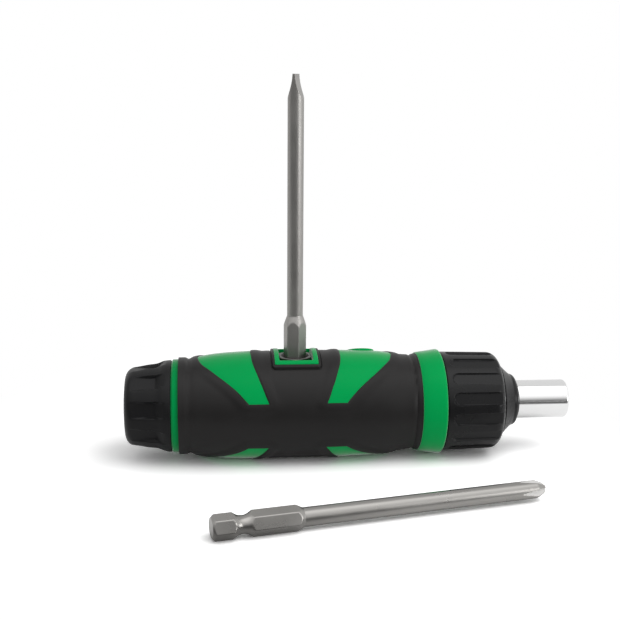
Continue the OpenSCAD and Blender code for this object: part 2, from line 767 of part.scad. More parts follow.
module spindle() {
    r = spindle_d / 2;
    tail = x_bush;
    step = x_bush + bush_len + seat_gap;
    color("#8f9194") lift() difference() {
        lathe([[0, tail], [journal_d / 2, tail], [journal_d / 2, step], [r, step], [r, x_sleeve - seat_gap],
            [shaft_spigot_d / 2, x_sleeve - seat_gap], [shaft_spigot_d / 2, x_sleeve + spigot_out],
            [0, x_sleeve + spigot_out]]);
        translate([x_gear, -key_w / 2 - seat_gap, r - key_h * key_share - seat_gap])
            cube([gear_w, key_w + 2 * seat_gap, r]);
    }
}

module gear_key() {
    color("#77797c") lift() translate([x_gear + seat_gap, -key_w / 2, spindle_d / 2 - key_h * key_share])
        cube([gear_w - 2 * seat_gap, key_w, key_h]);
}

module ratchet_gear() {
    pitch = 360 / teeth;
    root_r = gear_r - tooth_h;
    outline = [for (i = [0 : teeth - 1])
        let (a = 90 + (i + 0.5) * pitch)
        each [for (p = [[root_r, -tooth_root_share], [gear_r, -tooth_tip_share], [gear_r, tooth_tip_share],
            [root_r, tooth_root_share]])
            [p[0] * cos(a + p[1] * pitch), p[0] * sin(a + p[1] * pitch)]]];
    key_top = spindle_d / 2 + key_h * (1 - key_share) + seat_gap;
    color("#85878a") lift() difference() {
        on_axis(x_gear) linear_extrude(height = gear_w) difference() {
            polygon(outline);
            circle(d = spindle_d + 2 * seat_gap);
        }
        translate([x_gear - overrun, -key_w / 2 - seat_gap, 0])
            cube([gear_w + 2 * overrun, key_w + 2 * seat_gap, key_top]);
    }
}

module thrust_washer() {
    x = x_gear + gear_w + seat_gap;
    r_in = spindle_d / 2 + run_gap;
    color("#b9a06a") lift() lathe([[r_in, x], [gear_r, x], [gear_r, x + washer_t], [r_in, x + washer_t]]);
}

// Pawl on +Y: its nose points inward, its post runs forward into the cam
module pawl() {
    half = pawl_w / 2;
    outline = [[-nose_lead, 0], [-nose_lead + nose_tip_w, 0], [nose_ramp, nose_ramp_h], [half, nose_h],
        [half, pawl_h], [-half, pawl_h], [-half, nose_h], [-nose_flank, nose_ramp_h]];
    lift() union() {
        on_axis(x_gear + pawl_slide) linear_extrude(height = pawl_len) intersection() {
            translate([0, pawl_tip_r]) polygon(outline);
            circle(r = pawl_tip_r + pawl_h);
        }
        on_axis(x_gear + pawl_slide + pawl_len / 2) translate([0, post_r])
            cylinder(d = post_d, h = pawl_len / 2 + post_len);
    }
}

module left_pawl() {
    color("#94969a") pawl();
}

module right_pawl() {
    color("#94969a") mirror([0, 1, 0]) pawl();
}

module pawl_spring() {
    wire_in = pawl_tip_r + pawl_h + pawl_wire_gap;
    color("#a9abad") lift() on_axis(x_pawl_spring) rotate([0, 0, 180 + (360 - pawl_spring_deg) / 2])
        rotate_extrude(angle = pawl_spring_deg) translate([wire_in + pawl_wire / 2, 0])
            square([pawl_wire, pawl_wire], center = true);
}

// Cross-section of the detent's crest, outward from the axis along +X
module detent_crest(gap) {
    guide_r = guide_d / 2;
    low = guide_r - detent_pocket + detent_rest + detent_t / 2;
    top = guide_r + detent_out + gap;
    polygon([[low, -detent_foot - gap], [top, -detent_tip - gap], [top, detent_tip + gap],
        [low, detent_foot + gap]]);
}

module detent_spring() {
    floor_r = guide_d / 2 - detent_pocket + detent_rest;
    color("#b4b6b8") lift() on_axis(x_sel + detent_in) linear_extrude(height = detent_len) union() {
        translate([floor_r, -detent_half]) square([detent_t, 2 * detent_half]);
        detent_crest(0);
    }
}

// One flute: a flat floor with a round rear end, open to the front
module flute() {
    rear = x_sel + flute_start + flute_end_r;
    translate([rear, 0, selector_front_d / 2 - flute_depth + flute_lift]) rotate([0, flute_lean, 0])
        linear_extrude(height = selector_d) polygon(concat(arc(0, 0, flute_end_r, 90, 270),
            [[selector_len, -flute_end_r], [selector_len, flute_end_r]]));
}
module selector_ring() {
    r = selector_d / 2;
    front_r = selector_front_d / 2;
    bore = selector_bore_d / 2;
    lip = guide_nose_d / 2 + run_gap;
    shoulder = x_cam + cam_t + seat_gap;
    inner = x_sel_front - front_wall;
    ring = concat([[bore, x_sel], [r - selector_edge, x_sel], [r, x_sel + selector_edge]],
        arc(front_r - selector_edge_r, x_sel_front - selector_edge_r, selector_edge_r, 0, 90),
        [[lip, x_sel_front], [lip, inner], [bore - cam_shoulder, inner], [bore - cam_shoulder, shoulder],
        [bore, shoulder]]);
    color("#1d1d1f") lift() difference() {
        lathe(ring);
        for (i = [0 : flutes - 1]) rotate([360 * i / flutes, 0, 0]) flute();
        // Three detent notches, and two keyways for the cam
        for (a = [-selector_throw, 0, selector_throw])
            on_axis(x_sel - overrun) rotate([0, 0, a])
                linear_extrude(height = overrun + detent_in + detent_len + end_gap) detent_crest(detent_gap);
        for (q = [0, 180]) on_axis(x_sel - overrun) rotate([0, 0, cam_lug_deg + q])
            translate([bore - cam_lug_h, -cam_lug_w / 2 - seat_gap, 0])
                cube([2 * cam_lug_h + seat_gap, cam_lug_w + 2 * seat_gap,
                    shoulder + end_gap - x_sel + overrun]);
    }
}

// Scroll slot in the cam: its centre line rises by the pawl's travel over the selector's throw
module cam_slot(sign) {
    half = post_d / 2 + cam_slot_gap;
    reach = selector_throw + cam_slot_ends_deg;
    function centre(b) = post_r - sign * pawl_travel * b / selector_throw;
    inner = [for (i = [0 : cam_steps]) let (b = reach * (2 * i / cam_steps - 1), r = centre(b) - half)
        [r * cos(b), r * sin(b)]];
    outer = [for (i = [cam_steps : -1 : 0])
        let (b = reach * (2 * i / cam_steps - 1), r = centre(b) + half + cam_slot_free)
        [r * cos(b), r * sin(b)]];
    polygon(concat(inner, outer));
}

module selector_cam() {
    color("#3a3b3d") lift() on_axis(x_cam) linear_extrude(height = cam_t) difference() {
        union() {
            circle(d = selector_bore_d - 2 * seat_gap);
            for (q = [0, 180]) rotate([0, 0, cam_lug_deg + q])
                translate([selector_bore_d / 2 - cam_lug_h, -cam_lug_w / 2])
                    square([2 * cam_lug_h, cam_lug_w]);
        }
        circle(d = nose_hub_d + 2 * cam_bore_gap);
        rotate([0, 0, 90]) cam_slot(1);
        rotate([0, 0, 270]) cam_slot(-1);
    }
}

module nose_collar() {
    tip_r = nose_tip_d / 2;
    bore = journal_r + run_gap;
    hub_r = nose_hub_d / 2;
    x_hub_in = x_gear + gear_w + washer_t + 2 * seat_gap;
    x_guide = x_cam + cam_t + end_gap;
    x_flare = x_nose + nose_flange;
    x_edge = x_nose_tip - nose_edge_r;
    flare = [for (i = [0 : nose_steps]) let (t = i / nose_steps)
        [tip_r + (nose_d / 2 - tip_r) * (1 - t) * (1 - nose_sag_share * t),
            x_flare + (x_edge - x_flare) * t]];
    color("#2a2a2c") lift() lathe(concat(
        [[bore, x_hub_in], [hub_r, x_hub_in], [hub_r, x_guide], [guide_nose_d / 2, x_guide],
        [guide_nose_d / 2, x_nose], [nose_d / 2, x_nose]], flare,
        arc(tip_r - nose_edge_r, x_edge, nose_edge_r, 0, 90), [[bore, x_nose_tip]]));
}

module chuck_sleeve() {
    r = chuck_d / 2;
    lead_r = hex_bore_corner_d / 2 + chuck_lead / 2;
    hex_end = x_socket - chuck_magnet_t;
    color("#cfd0d1") lift() difference() {
        lathe([[0, x_sleeve], [journal_r, x_sleeve], [journal_r, x_nose_tip + end_gap],
            [r, x_nose_tip + end_gap], [r, x_chuck_end - chuck_edge], [r - chuck_edge, x_chuck_end],
            [0, x_chuck_end]]);
        bar(shaft_spigot_d / 2 + seat_gap, x_sleeve - overrun, hex_end - chuck_web);
        on_axis(hex_end) hex_bar(hex_bore_corner_d, x_chuck_end - hex_end + overrun);
        on_axis(x_chuck_end - chuck_lead)
            cylinder(r1 = lead_r - chuck_lead, r2 = lead_r, h = chuck_lead + seat_gap);
        on_axis(x_socket + groove_at - clip_w / 2 - clip_room)
            cylinder(r = clip_in_r + clip_t + clip_room, h = clip_w + 2 * clip_room);
    }
}

module chuck_magnet() {
    color("#8a8d90") lift() bar(magnet_d / 2, x_socket - chuck_magnet_t + seat_gap, x_socket);
}

module bit_retaining_ring() {
    color("#b4b6b8") lift() on_axis(x_socket + groove_at) rotate_extrude(angle = clip_deg)
        translate([clip_in_r + clip_t / 2, 0]) square([clip_t, clip_w], center = true);
}

handle_core();
rubber_grip();
rear_collar();
rear_cap();
cap_seal();
t_socket_sleeve();
t_socket_magnet();
slotted_bit();
phillips_bit();
housing_screw();
screw_cover();
ratchet_housing();
spindle_bush();
thrust_ball();
spindle();
gear_key();
ratchet_gear();
thrust_washer();
left_pawl();
right_pawl();
pawl_spring();
selector_ring();
selector_cam();
detent_spring();
nose_collar();
chuck_sleeve();
chuck_magnet();
bit_retaining_ring();
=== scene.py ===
import logging
import math
from dataclasses import dataclass, replace
from enum import Enum
from typing import Sequence

import bmesh
import bpy
import numpy as np
from mathutils import Matrix, Vector
from mathutils.kdtree import KDTree


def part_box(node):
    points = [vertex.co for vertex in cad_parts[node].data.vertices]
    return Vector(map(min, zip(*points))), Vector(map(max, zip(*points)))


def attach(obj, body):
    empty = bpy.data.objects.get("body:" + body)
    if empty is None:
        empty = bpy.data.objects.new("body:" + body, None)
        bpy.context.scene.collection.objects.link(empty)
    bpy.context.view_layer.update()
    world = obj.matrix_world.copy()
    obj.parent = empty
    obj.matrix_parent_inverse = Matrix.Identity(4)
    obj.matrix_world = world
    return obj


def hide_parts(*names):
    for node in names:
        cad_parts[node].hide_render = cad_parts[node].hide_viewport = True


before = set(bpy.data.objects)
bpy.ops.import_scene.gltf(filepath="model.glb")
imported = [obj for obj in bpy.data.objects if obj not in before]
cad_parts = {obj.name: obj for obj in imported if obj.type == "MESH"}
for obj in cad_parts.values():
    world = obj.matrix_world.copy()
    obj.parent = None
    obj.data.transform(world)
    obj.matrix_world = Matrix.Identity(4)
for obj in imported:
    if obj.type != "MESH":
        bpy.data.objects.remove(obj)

logging.basicConfig(level=logging.INFO, format="%(message)s")
LOG = logging.getLogger("screwdriver")

MM = 0.001
FULL_TURN = 2 * math.pi
QUARTER = math.pi / 2
# Least divisor, where a plane is seen edge on
NEAR_NOUGHT = 1e-3
# Sockets of a Map Range node, in the order in which their values are given here
RANGE = ("Value", "From Min", "From Max", "To Min", "To Max")
# Span that holds most of a noise texture's values
NOISE_SPAN = (0.3, 0.7)
Shares = Sequence[tuple[float, float]]
Line = list[tuple[float, float]]


def linear(hex_colour: str) -> tuple[float, float, float, float]:
    """Turns an sRGB hex colour into linear light.

    Args:
        hex_colour: Six hex digits after a hash sign.

    Returns:
        Red, green, blue and an alpha of one.
    """
    parts = [int(hex_colour[i : i + 2], 16) / 255 for i in (1, 3, 5)]
    red, green, blue = [c / 12.92 if c <= 0.04045 else ((c + 0.055) / 1.055) ** 2.4 for c in parts]
    return red, green, blue, 1.0


def add_node(
    tree: bpy.types.NodeTree, kind: str, inputs: dict | None = None, **settings: object
) -> bpy.types.Node:
    """Adds one node to a tree.

    Args:
        tree: The node tree.
        kind: Blender's name for the node type.
        inputs: Socket names or numbers, each with a value or with a socket to link from.
        settings: Attributes of the node.

    Returns:
        The new node.
    """
    node = tree.nodes.new(kind)
    for key, value in settings.items():
        setattr(node, key, value)
    for key, value in (inputs or {}).items():
        if isinstance(value, bpy.types.NodeSocket):
            tree.links.new(value, node.inputs[key])
        else:
            node.inputs[key].default_value = value
    return node


def fresh_tree(owner: bpy.types.Material | bpy.types.World) -> bpy.types.NodeTree:
    """Gives a material or world an empty node tree."""
    owner.use_nodes = True
    owner.node_tree.nodes.clear()
    return owner.node_tree


def placed(name: str, data: bpy.types.ID) -> bpy.types.Object:
    """Makes an object of its data and puts it in the scene."""
    made = bpy.data.objects.new(name, data)
    bpy.context.scene.collection.objects.link(made)
    return made


class Grain(Enum):
    """How a surface was made, which sets the run of its fine marks."""

    EVEN = (1.0, 1.0, 1.0)
    TURNED = (1.0, 0.04, 0.04)
    DRAWN = (0.05, 1.0, 1.0)


@dataclass(frozen=True)
class Finish:
    """A surface finish with fine grain in its colour, gloss and relief."""

    name: str
    colour: str
    mottle: str
    roughness: float
    grain_mm: float
    relief_mm: float
    metallic: float = 0.0
    gloss_swing: float = 0.05
    grain: Grain = Grain.EVEN
    cloud_mm: float = 9.0
    specular: float = 0.5
    sheen: float = 0.0
    sheen_roughness: float = 0.3

    def material(self) -> bpy.types.Material:
        """Builds the node material once, and returns the same one after that."""
        made = bpy.data.materials.get(self.name)
        if made:
            return made
        made = bpy.data.materials.new(self.name)
        tree = fresh_tree(made)
        place = add_node(tree, "ShaderNodeTexCoord").outputs["Object"]
        run = add_node(tree, "ShaderNodeMapping", {"Vector": place, "Scale": self.grain.value})
        marks = ((run.outputs["Vector"], self.grain_mm, 3.0), (place, self.cloud_mm, 4.0))
        fine, cloud = [
            add_node(
                tree, "ShaderNodeTexNoise", {"Vector": way, "Scale": 1 / (size * MM), "Detail": detail}
            ).outputs["Fac"]
            for way, size, detail in marks
        ]
        blend = add_node(tree, "ShaderNodeMath", {0: fine, 1: cloud}, operation="MULTIPLY")
        tone = add_node(
            tree,
            "ShaderNodeMix",
            {"Factor": blend.outputs[0], "A": linear(self.colour), "B": linear(self.mottle)},
            data_type="RGBA",
        )
        swing = (self.roughness - self.gloss_swing, self.roughness + self.gloss_swing)
        gloss = add_node(tree, "ShaderNodeMapRange", dict(zip(RANGE, (cloud, *NOISE_SPAN, *swing))))
        bump = add_node(
            tree, "ShaderNodeBump", {"Strength": 1.0, "Distance": self.relief_mm * MM, "Height": fine}
        )
        shader = add_node(
            tree,
            "ShaderNodeBsdfPrincipled",
            {
                "Base Color": tone.outputs["Result"],
                "Metallic": self.metallic,
                "Roughness": gloss.outputs["Result"],
                "Specular IOR Level": self.specular,
                "Sheen Weight": self.sheen,
                "Sheen Roughness": self.sheen_roughness,
                "Normal": bump.outputs["Normal"],
            },
        )
        add_node(tree, "ShaderNodeOutputMaterial", {"Surface": shader.outputs["BSDF"]})
        made.diffuse_color = linear(self.colour)
        return made


# Soft overmould: a dull dark grey that catches a broad sheen on its crowns
OVERMOULD = Finish(
    "thermoplastic_elastomer_moulded", "#1d1c1c", "#242323", 0.4, 0.35, 0.012, specular=0.15
)
# Handle body: saturated green with a satin moulded skin
GREEN_ABS = Finish("abs_green_moulded", "#009148", "#00994d", 0.22, 0.5, 0.003, specular=0.03, sheen=0.8)
# Rear collar: the same plastic, its colour painted darker as painted shade for the shade it lies in
# between cap and rubber
SHADED_GREEN_ABS = replace(
    GREEN_ABS, name="abs_green_painted_shade", colour="#008040", mottle="#008845", roughness=0.24
)
# Selector and nose: near-black with a fine eroded mould skin
BLACK_NYLON = Finish("glass_nylon_black_moulded", "#131314", "#19191a", 0.28, 0.3, 0.005, specular=0.2)
# Cap: the same plastic with a duller skin
DULL_NYLON = replace(
    BLACK_NYLON, name="glass_nylon_black_eroded", roughness=0.36, relief_mm=0.006, specular=0.14
)
# Seal: smooth black rubber
SEAL_RUBBER = Finish("nitrile_rubber_smooth", "#141414", "#1a1a1a", 0.45, 0.4, 0.004)
# Upright bit: grey tool steel, blasted, with no mirror left in it
BIT_STEEL = Finish("tool_steel_blasted", "#a19f9c", "#b2b0ad", 0.42, 0.22, 0.012, metallic=1.0)
# Loose bit: the same steel, its colour painted darker as painted shade and painted darker reflections on
# the lying bit
SHADED_BIT_STEEL = replace(
    BIT_STEEL, name="tool_steel_painted_shade", colour="#94928f", mottle="#a3a19e", roughness=0.3
)
# Flutes of the cross tip: the same steel, freshly ground and brighter
TIP_STEEL = Finish("tool_steel_ground", "#bdbcba", "#c8c7c5", 0.34, 0.2, 0.006, metallic=1.0)
# Chuck: turned and polished steel that mirrors the room in long bands
CHUCK_STEEL = Finish(
    "chromed_steel_polished", "#ebebeb", "#e6e6e6", 0.13, 0.18, 0.0015, metallic=1.0, grain=Grain.TURNED,
    gloss_swing=0.03,
)
# Socket bush: dark machined steel
BUSH_STEEL = Finish("carbon_steel_machined", "#535251", "#62615f", 0.38, 0.25, 0.006, metallic=1.0)
# Ratchet pieces: ground steel
GROUND_STEEL = Finish(
    "alloy_steel_ground", "#8f9193", "#a0a2a4", 0.32, 0.2, 0.004, metallic=1.0, grain=Grain.TURNED
)
# Springs: bright drawn wire
SPRING_STEEL = Finish(
    "spring_wire_drawn", "#b4b6b8", "#c2c4c6", 0.25, 0.2, 0.003, metallic=1.0, grain=Grain.DRAWN
)
# Ratchet body: dull die-cast zinc with a cloudy skin
CAST_ZINC = Finish("zinc_die_cast", "#77797b", "#85878a", 0.5, 0.6, 0.01, metallic=1.0)
# Bush and washer: warm sintered bronze
BRONZE = Finish("bronze_sintered", "#a3824c", "#b3925c", 0.45, 0.3, 0.008, metallic=1.0)
# Magnets: nickel plate
NICKEL = Finish("nickel_plate_magnet", "#a8a9aa", "#b4b5b6", 0.28, 0.4, 0.002, metallic=1.0)


@dataclass(frozen=True)
class DriveAxis:
    """The drive axis, read from the frame."""

    height: float

    @classmethod
    def from_frame(cls) -> "DriveAxis":
        """Finds the axis as the middle of the chuck's box."""
        low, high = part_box("chuck_sleeve")
        return cls((low.z + high.z) / 2 / MM)

    def points(
        self, x: np.ndarray | float, r: np.ndarray | float, a: np.ndarray, low: float = -math.inf
    ) -> np.ndarray:
        """Places polar points round the axis.

        Args:
            x: Station or stations along the axis, mm.
            r: Radius or radii, mm.
            a: Angles from the top towards the front, radians.
            low: Height that no point goes under, mm.

        Returns:
            The points, with a last axis of three, mm.
        """
        x, r, a = np.broadcast_arrays(x, r, a)
        return np.stack([x, -r * np.sin(a), np.maximum(self.height + r * np.cos(a), low)], axis=-1)

    def lathe(self, line: Line, columns: int) -> np.ndarray:
        """Turns a line of stations and radii round the axis, as rings of points in mm."""
        flat = np.array(line)
        return self.points(flat[:, :1], flat[:, 1:], circle(columns)[None, :])


def circle(columns: int) -> np.ndarray:
    """Angles of evenly spread columns, radians."""
    return np.linspace(0, FULL_TURN, columns, endpoint=False)


def arc(x: float, r: float, radius: float, start: float, end: float, count: int) -> Line:
    """Points of an arc in a line of stations and radii.

    Args:
        x: Station of its centre, mm.
        r: Radius of its centre, mm.
        radius: Its own radius, mm.
        start: First angle from straight outward, towards higher stations, radians.
        end: Last angle, radians.
        count: Number of points.

    Returns:
        The points, mm.
    """
    return [(x + radius * math.sin(t), r + radius * math.cos(t)) for t in np.linspace(start, end, count)]


def ring_at(r: np.ndarray | float, a: np.ndarray, z: float) -> np.ndarray:
    """Ring of points round an upright axis at one height, mm."""
    return np.column_stack([r * np.cos(a), r * np.sin(a), np.full_like(a, z)])


def turn_of(deg: np.ndarray) -> np.ndarray:
    """Folds an angle to its distance from the top, 0 to 180 degrees."""
    return np.where(deg > 180, 360 - deg, deg)


def cell_turn(deg: np.ndarray) -> np.ndarray:
    """Distance from the top of the middle of each cell between columns, degrees."""
    return turn_of((deg + np.append(deg[1:], 360)) / 2)


def fold(a: np.ndarray, period: float) -> np.ndarray:
    """Angle from the nearest of evenly spread places, the first of them at nought."""
    return (a + period / 2) % period - period / 2


def smooth(table: Shares, at: np.ndarray | float) -> np.ndarray:
    """Runs a smooth curve through a table of places and values.

    Args:
        table: Rows of place and value, in order of place.
        at: Places to read.

    Returns:
        The values there.
    """
    place, value = np.array(table, float).T
    at = np.asarray(at, float)
    low = np.maximum(np.arange(len(place)) - 1, 0)
    high = np.minimum(np.arange(len(place)) + 1, len(place) - 1)
    slope = (value[high] - value[low]) / (place[high] - place[low])
    i = np.clip(np.searchsorted(place, at, side="left") - 1, 0, len(place) - 2)
    width = place[i + 1] - place[i]
    s = (at - place[i]) / width
    return (
        (2 * s**3 - 3 * s**2 + 1) * value[i]
        + (s**3 - 2 * s**2 + s) * width * slope[i]
        + (3 * s**2 - 2 * s**3) * value[i + 1]
        + (s**3 - s**2) * width * slope[i + 1]
    )


def ease(low: float, high: float, at: np.ndarray) -> np.ndarray:
    """Rises smoothly from nought at low to one at high."""
    t = np.clip((np.asarray(at, float) - low) / (high - low), 0, 1)
    return t * t * (3 - 2 * t)


def hump(off: np.ndarray, half: float) -> np.ndarray:
    """Bell of height one round nought, about as wide as half to either side."""
    return np.exp(-((off / half) ** 2))


def soft_min(a: np.ndarray, b: np.ndarray | float, radius: float) -> np.ndarray:
    """Takes the smaller of two values, with the corner between them rounded.

    Args:
        a: First values.
        b: Second values.
        radius: About the size of the rounding.

    Returns:
        The blended values.
    """
    h = np.clip(0.5 + 0.5 * (b - a) / radius, 0, 1)
    return b * (1 - h) + a * h - radius * h * (1 - h)


def graded(start: float, end: float, count: int) -> np.ndarray:
    """Spreads places between two ends, closer together near both, without the last."""
    t = np.arange(count) / count
    return start + (end - start) * t * t * (3 - 2 * t)


def both_sides(knots: Sequence[float], counts: Sequence[int]) -> np.ndarray:
    """Angles of columns all round, graded between knots and the same on both sides of the top.

    Args:
        knots: Angles from the top, 0 to 180 degrees.
        counts: Number of columns from each knot to the next.

    Returns:
        The angles, 0 up to 360 degrees.
    """
    half = np.concatenate([graded(*run) for run in zip(knots, knots[1:], counts)])
    return np.concatenate([half, [180.0], 360 - half[:0:-1]])


def repeated(half: list[float], share_deg: float, count: int) -> np.ndarray:
    """Angles of columns that repeat evenly round the axis.

    Args:
        half: Places of columns from the middle of a repeat to one side.
        share_deg: Angle of a place of one.
        count: Number of repeats.

    Returns:
        The angles, degrees.
    """
    steps = np.array([-h for h in half[:0:-1]] + half) * share_deg
    return np.concatenate([360 / count * i + steps for i in range(count)])


class Solid:
    """Gathers closed shells of one piece into one mesh."""

    def __init__(self) -> None:
        """Starts with no points."""
        self.points: list[np.ndarray] = []
        self.faces: list[tuple[int, ...]] = []
        self.count = 0

    def add(self, points: np.ndarray, faces: list[tuple[int, ...]]) -> None:
        """Adds points in mm, and faces that count from the first of them."""
        flat = np.asarray(points, float).reshape(-1, 3)
        self.faces += [tuple(int(i) + self.count for i in f) for f in faces]
        self.points.append(flat)
        self.count += len(flat)

    def loft(self, rings: np.ndarray, loop: bool) -> None:
        """Skins closed rings of points, and closes the two ends or joins them.

        Args:
            rings: Array of rows, columns and three coordinates, mm.
            loop: True joins the last ring to the first; False closes both ends with a fan.
        """
        rows, cols = rings.shape[:2]
        faces = []
        for i in range(rows if loop else rows - 1):
            a, b = i * cols, (i + 1) % rows * cols
            for j in range(cols):
                k = (j + 1) % cols
                faces.append((a + j, a + k, b + k, b + j))
        points = rings.reshape(-1, 3)
        if not loop:
            ends = np.stack([rings[0].mean(0), rings[-1].mean(0)])
            points = np.concatenate([points, ends])
            first, last = rows * cols, rows * cols + 1
            for j in range(cols):
                k = (j + 1) % cols
                faces.append((first, k, j))
                faces.append((last, (rows - 1) * cols + j, (rows - 1) * cols + k))
        self.add(points, faces)

    def shell(self, outer: np.ndarray, inner: np.ndarray, keep: np.ndarray, wrap: bool) -> None:
        """Skins a sheet with a thickness, with cells left out as openings.

        Args:
            outer: Rows, columns and three coordinates of the outer face, mm.
            inner: The same of the inner face.
            keep: Rows less one by columns (less one if it doesn't wrap): True where there is material.
            wrap: True if the last column joins the first.
        """
        rows, cols = outer.shape[:2]
        cells = keep.shape[1]
        off = rows * cols
        faces = []

        def at(i: int, j: int) -> int:
            """Number of the outer point in row i and column j."""
            return i * cols + j % cols

        def kept(i: int, j: int) -> bool:
            """Says whether the cell in row i and column j is there and has material."""
            if not 0 <= i < rows - 1:
                return False
            if wrap:
                return bool(keep[i, j % cells])
            return 0 <= j < cells and bool(keep[i, j])

        for i in range(rows - 1):
            for j in range(cells):
                if not keep[i, j]:
                    continue
                a, b, c, d = at(i, j), at(i, j + 1), at(i + 1, j + 1), at(i + 1, j)
                faces.append((a, b, c, d))
                faces.append((d + off, c + off, b + off, a + off))
                sides = (((i - 1, j), a, b), ((i, j + 1), b, c), ((i + 1, j), c, d), ((i, j - 1), d, a))
                for (m, n), p, q in sides:
                    if not kept(m, n):
                        faces.append((q, p, p + off, q + off))
        self.add(np.concatenate([outer.reshape(-1, 3), inner.reshape(-1, 3)]), faces)

    def piece(self, name: str, sharp_deg: float) -> bpy.types.Object:
        """Makes the smooth mesh object, with its faces turned outward and no loose points.

        Args:
            name: Name of the piece.
            sharp_deg: Edges that turn by more than this stay sharp.

        Returns:
            The object, in the scene.
        """
        mesh = bpy.data.meshes.new(name)
        mesh.from_pydata((np.concatenate(self.points) * MM).tolist(), [], self.faces)
        mesh.validate()
        work = bmesh.new()
        work.from_mesh(mesh)
        loose = [v for v in work.verts if not v.link_faces]
        bmesh.ops.delete(work, geom=loose, context="VERTS")
        bmesh.ops.recalc_face_normals(work, faces=work.faces)
        work.to_mesh(mesh)
        work.free()
        mesh.shade_smooth()
        mesh.set_sharp_from_angle(angle=math.radians(sharp_deg))
        return placed(name, mesh)


def lofted(name: str, rings: Sequence[np.ndarray], sharp_deg: float, loop: bool) -> bpy.types.Object:
    """Makes a piece of one lofted skin.

    Args:
        name: Name of the piece.
        rings: Closed rings of points, mm.
        sharp_deg: Edges that turn by more than this stay sharp.
        loop: True joins the last ring to the first; False closes both ends.

    Returns:
        The object, in the scene.
    """
    solid = Solid()
    solid.loft(np.stack(rings), loop)
    return solid.piece(name, sharp_deg)


def dress(piece: bpy.types.Object, body: str, finish: Finish, slot: str, *nodes: str) -> None:
    """Gives a piece its finish and its body, and hides the nodes that it stands for.

    Args:
        piece: The object.
        body: Body of the frame that carries it.
        finish: Its surface.
        slot: Material slot of the record; not used.
        nodes: Nodes that it stands for.
    """
    piece.data.materials.clear()
    piece.data.materials.append(finish.material())
    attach(piece, body)
    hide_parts(*nodes)
    LOG.info("%s: %d faces on %s", piece.name, len(piece.data.polygons), body)


@dataclass
class GripLine:
    """The grip's outer line and its four windows, as on the solid."""

    rear: float = -36.9
    front: float = 39.2
    belly_r: float = 17.45
    rear_r: float = 15.4
    groove_r: float = 15.6
    window_near: float = 14.3
    window_far: float = 30.8
    upper_deg: float = 73.0
    lower_deg: float = 126.0
    rear_drop_shares: Shares = (
        (0, 0), (0.33, 0), (0.52, 0.1), (0.705, 0.37), (0.84, 0.76), (0.927, 0.96), (1, 1),
    )
    front_drop_shares: Shares = (
        (0, 0), (0.31, 0.02), (0.51, 0.135), (0.69, 0.35), (0.82, 0.73), (0.913, 1), (1, 0.89),
    )
    near_shares: Shares = ((0, 1), (0.27, 0.98), (0.41, 0.942), (0.62, 0.845), (0.82, 0.743), (1, 0.636))
    far_shares: Shares = (
        (0, 1), (0.16, 0.98), (0.27, 0.955), (0.41, 0.888), (0.55, 0.802), (0.685, 0.702),
        (0.82, 0.602), (0.96, 0.515), (1, 0.494),
    )

    def radius(self, x: np.ndarray) -> np.ndarray:
        """Radius of the grip at stations along the axis, mm."""
        x = np.asarray(x, float)
        rear = smooth(self.rear_drop_shares, np.clip(x / self.rear, 0, 1))
        front = smooth(self.front_drop_shares, np.clip(x / self.front, 0, 1))
        drop_rear = (self.belly_r - self.rear_r) * rear
        drop_front = (self.belly_r - self.groove_r) * front
        return self.belly_r - np.where(x < 0, drop_rear, drop_front)

    def span(self, deg: np.ndarray) -> np.ndarray:
        """Place of an angle in its window's span, held at one between the windows."""
        deg = np.abs(deg)
        upper, lower = deg / self.upper_deg, (180 - deg) / (180 - self.lower_deg)
        return np.where(deg <= self.upper_deg, upper, np.where(deg >= self.lower_deg, lower, 1.0))

    def near(self, deg: np.ndarray) -> np.ndarray:
        """Station of a window's near edge at an angle, mm."""
        return self.window_near * smooth(self.near_shares, self.span(deg))

    def far(self, deg: np.ndarray) -> np.ndarray:
        """Station of a window's far edge at an angle, mm."""
        return self.window_far * smooth(self.far_shares, self.span(deg))


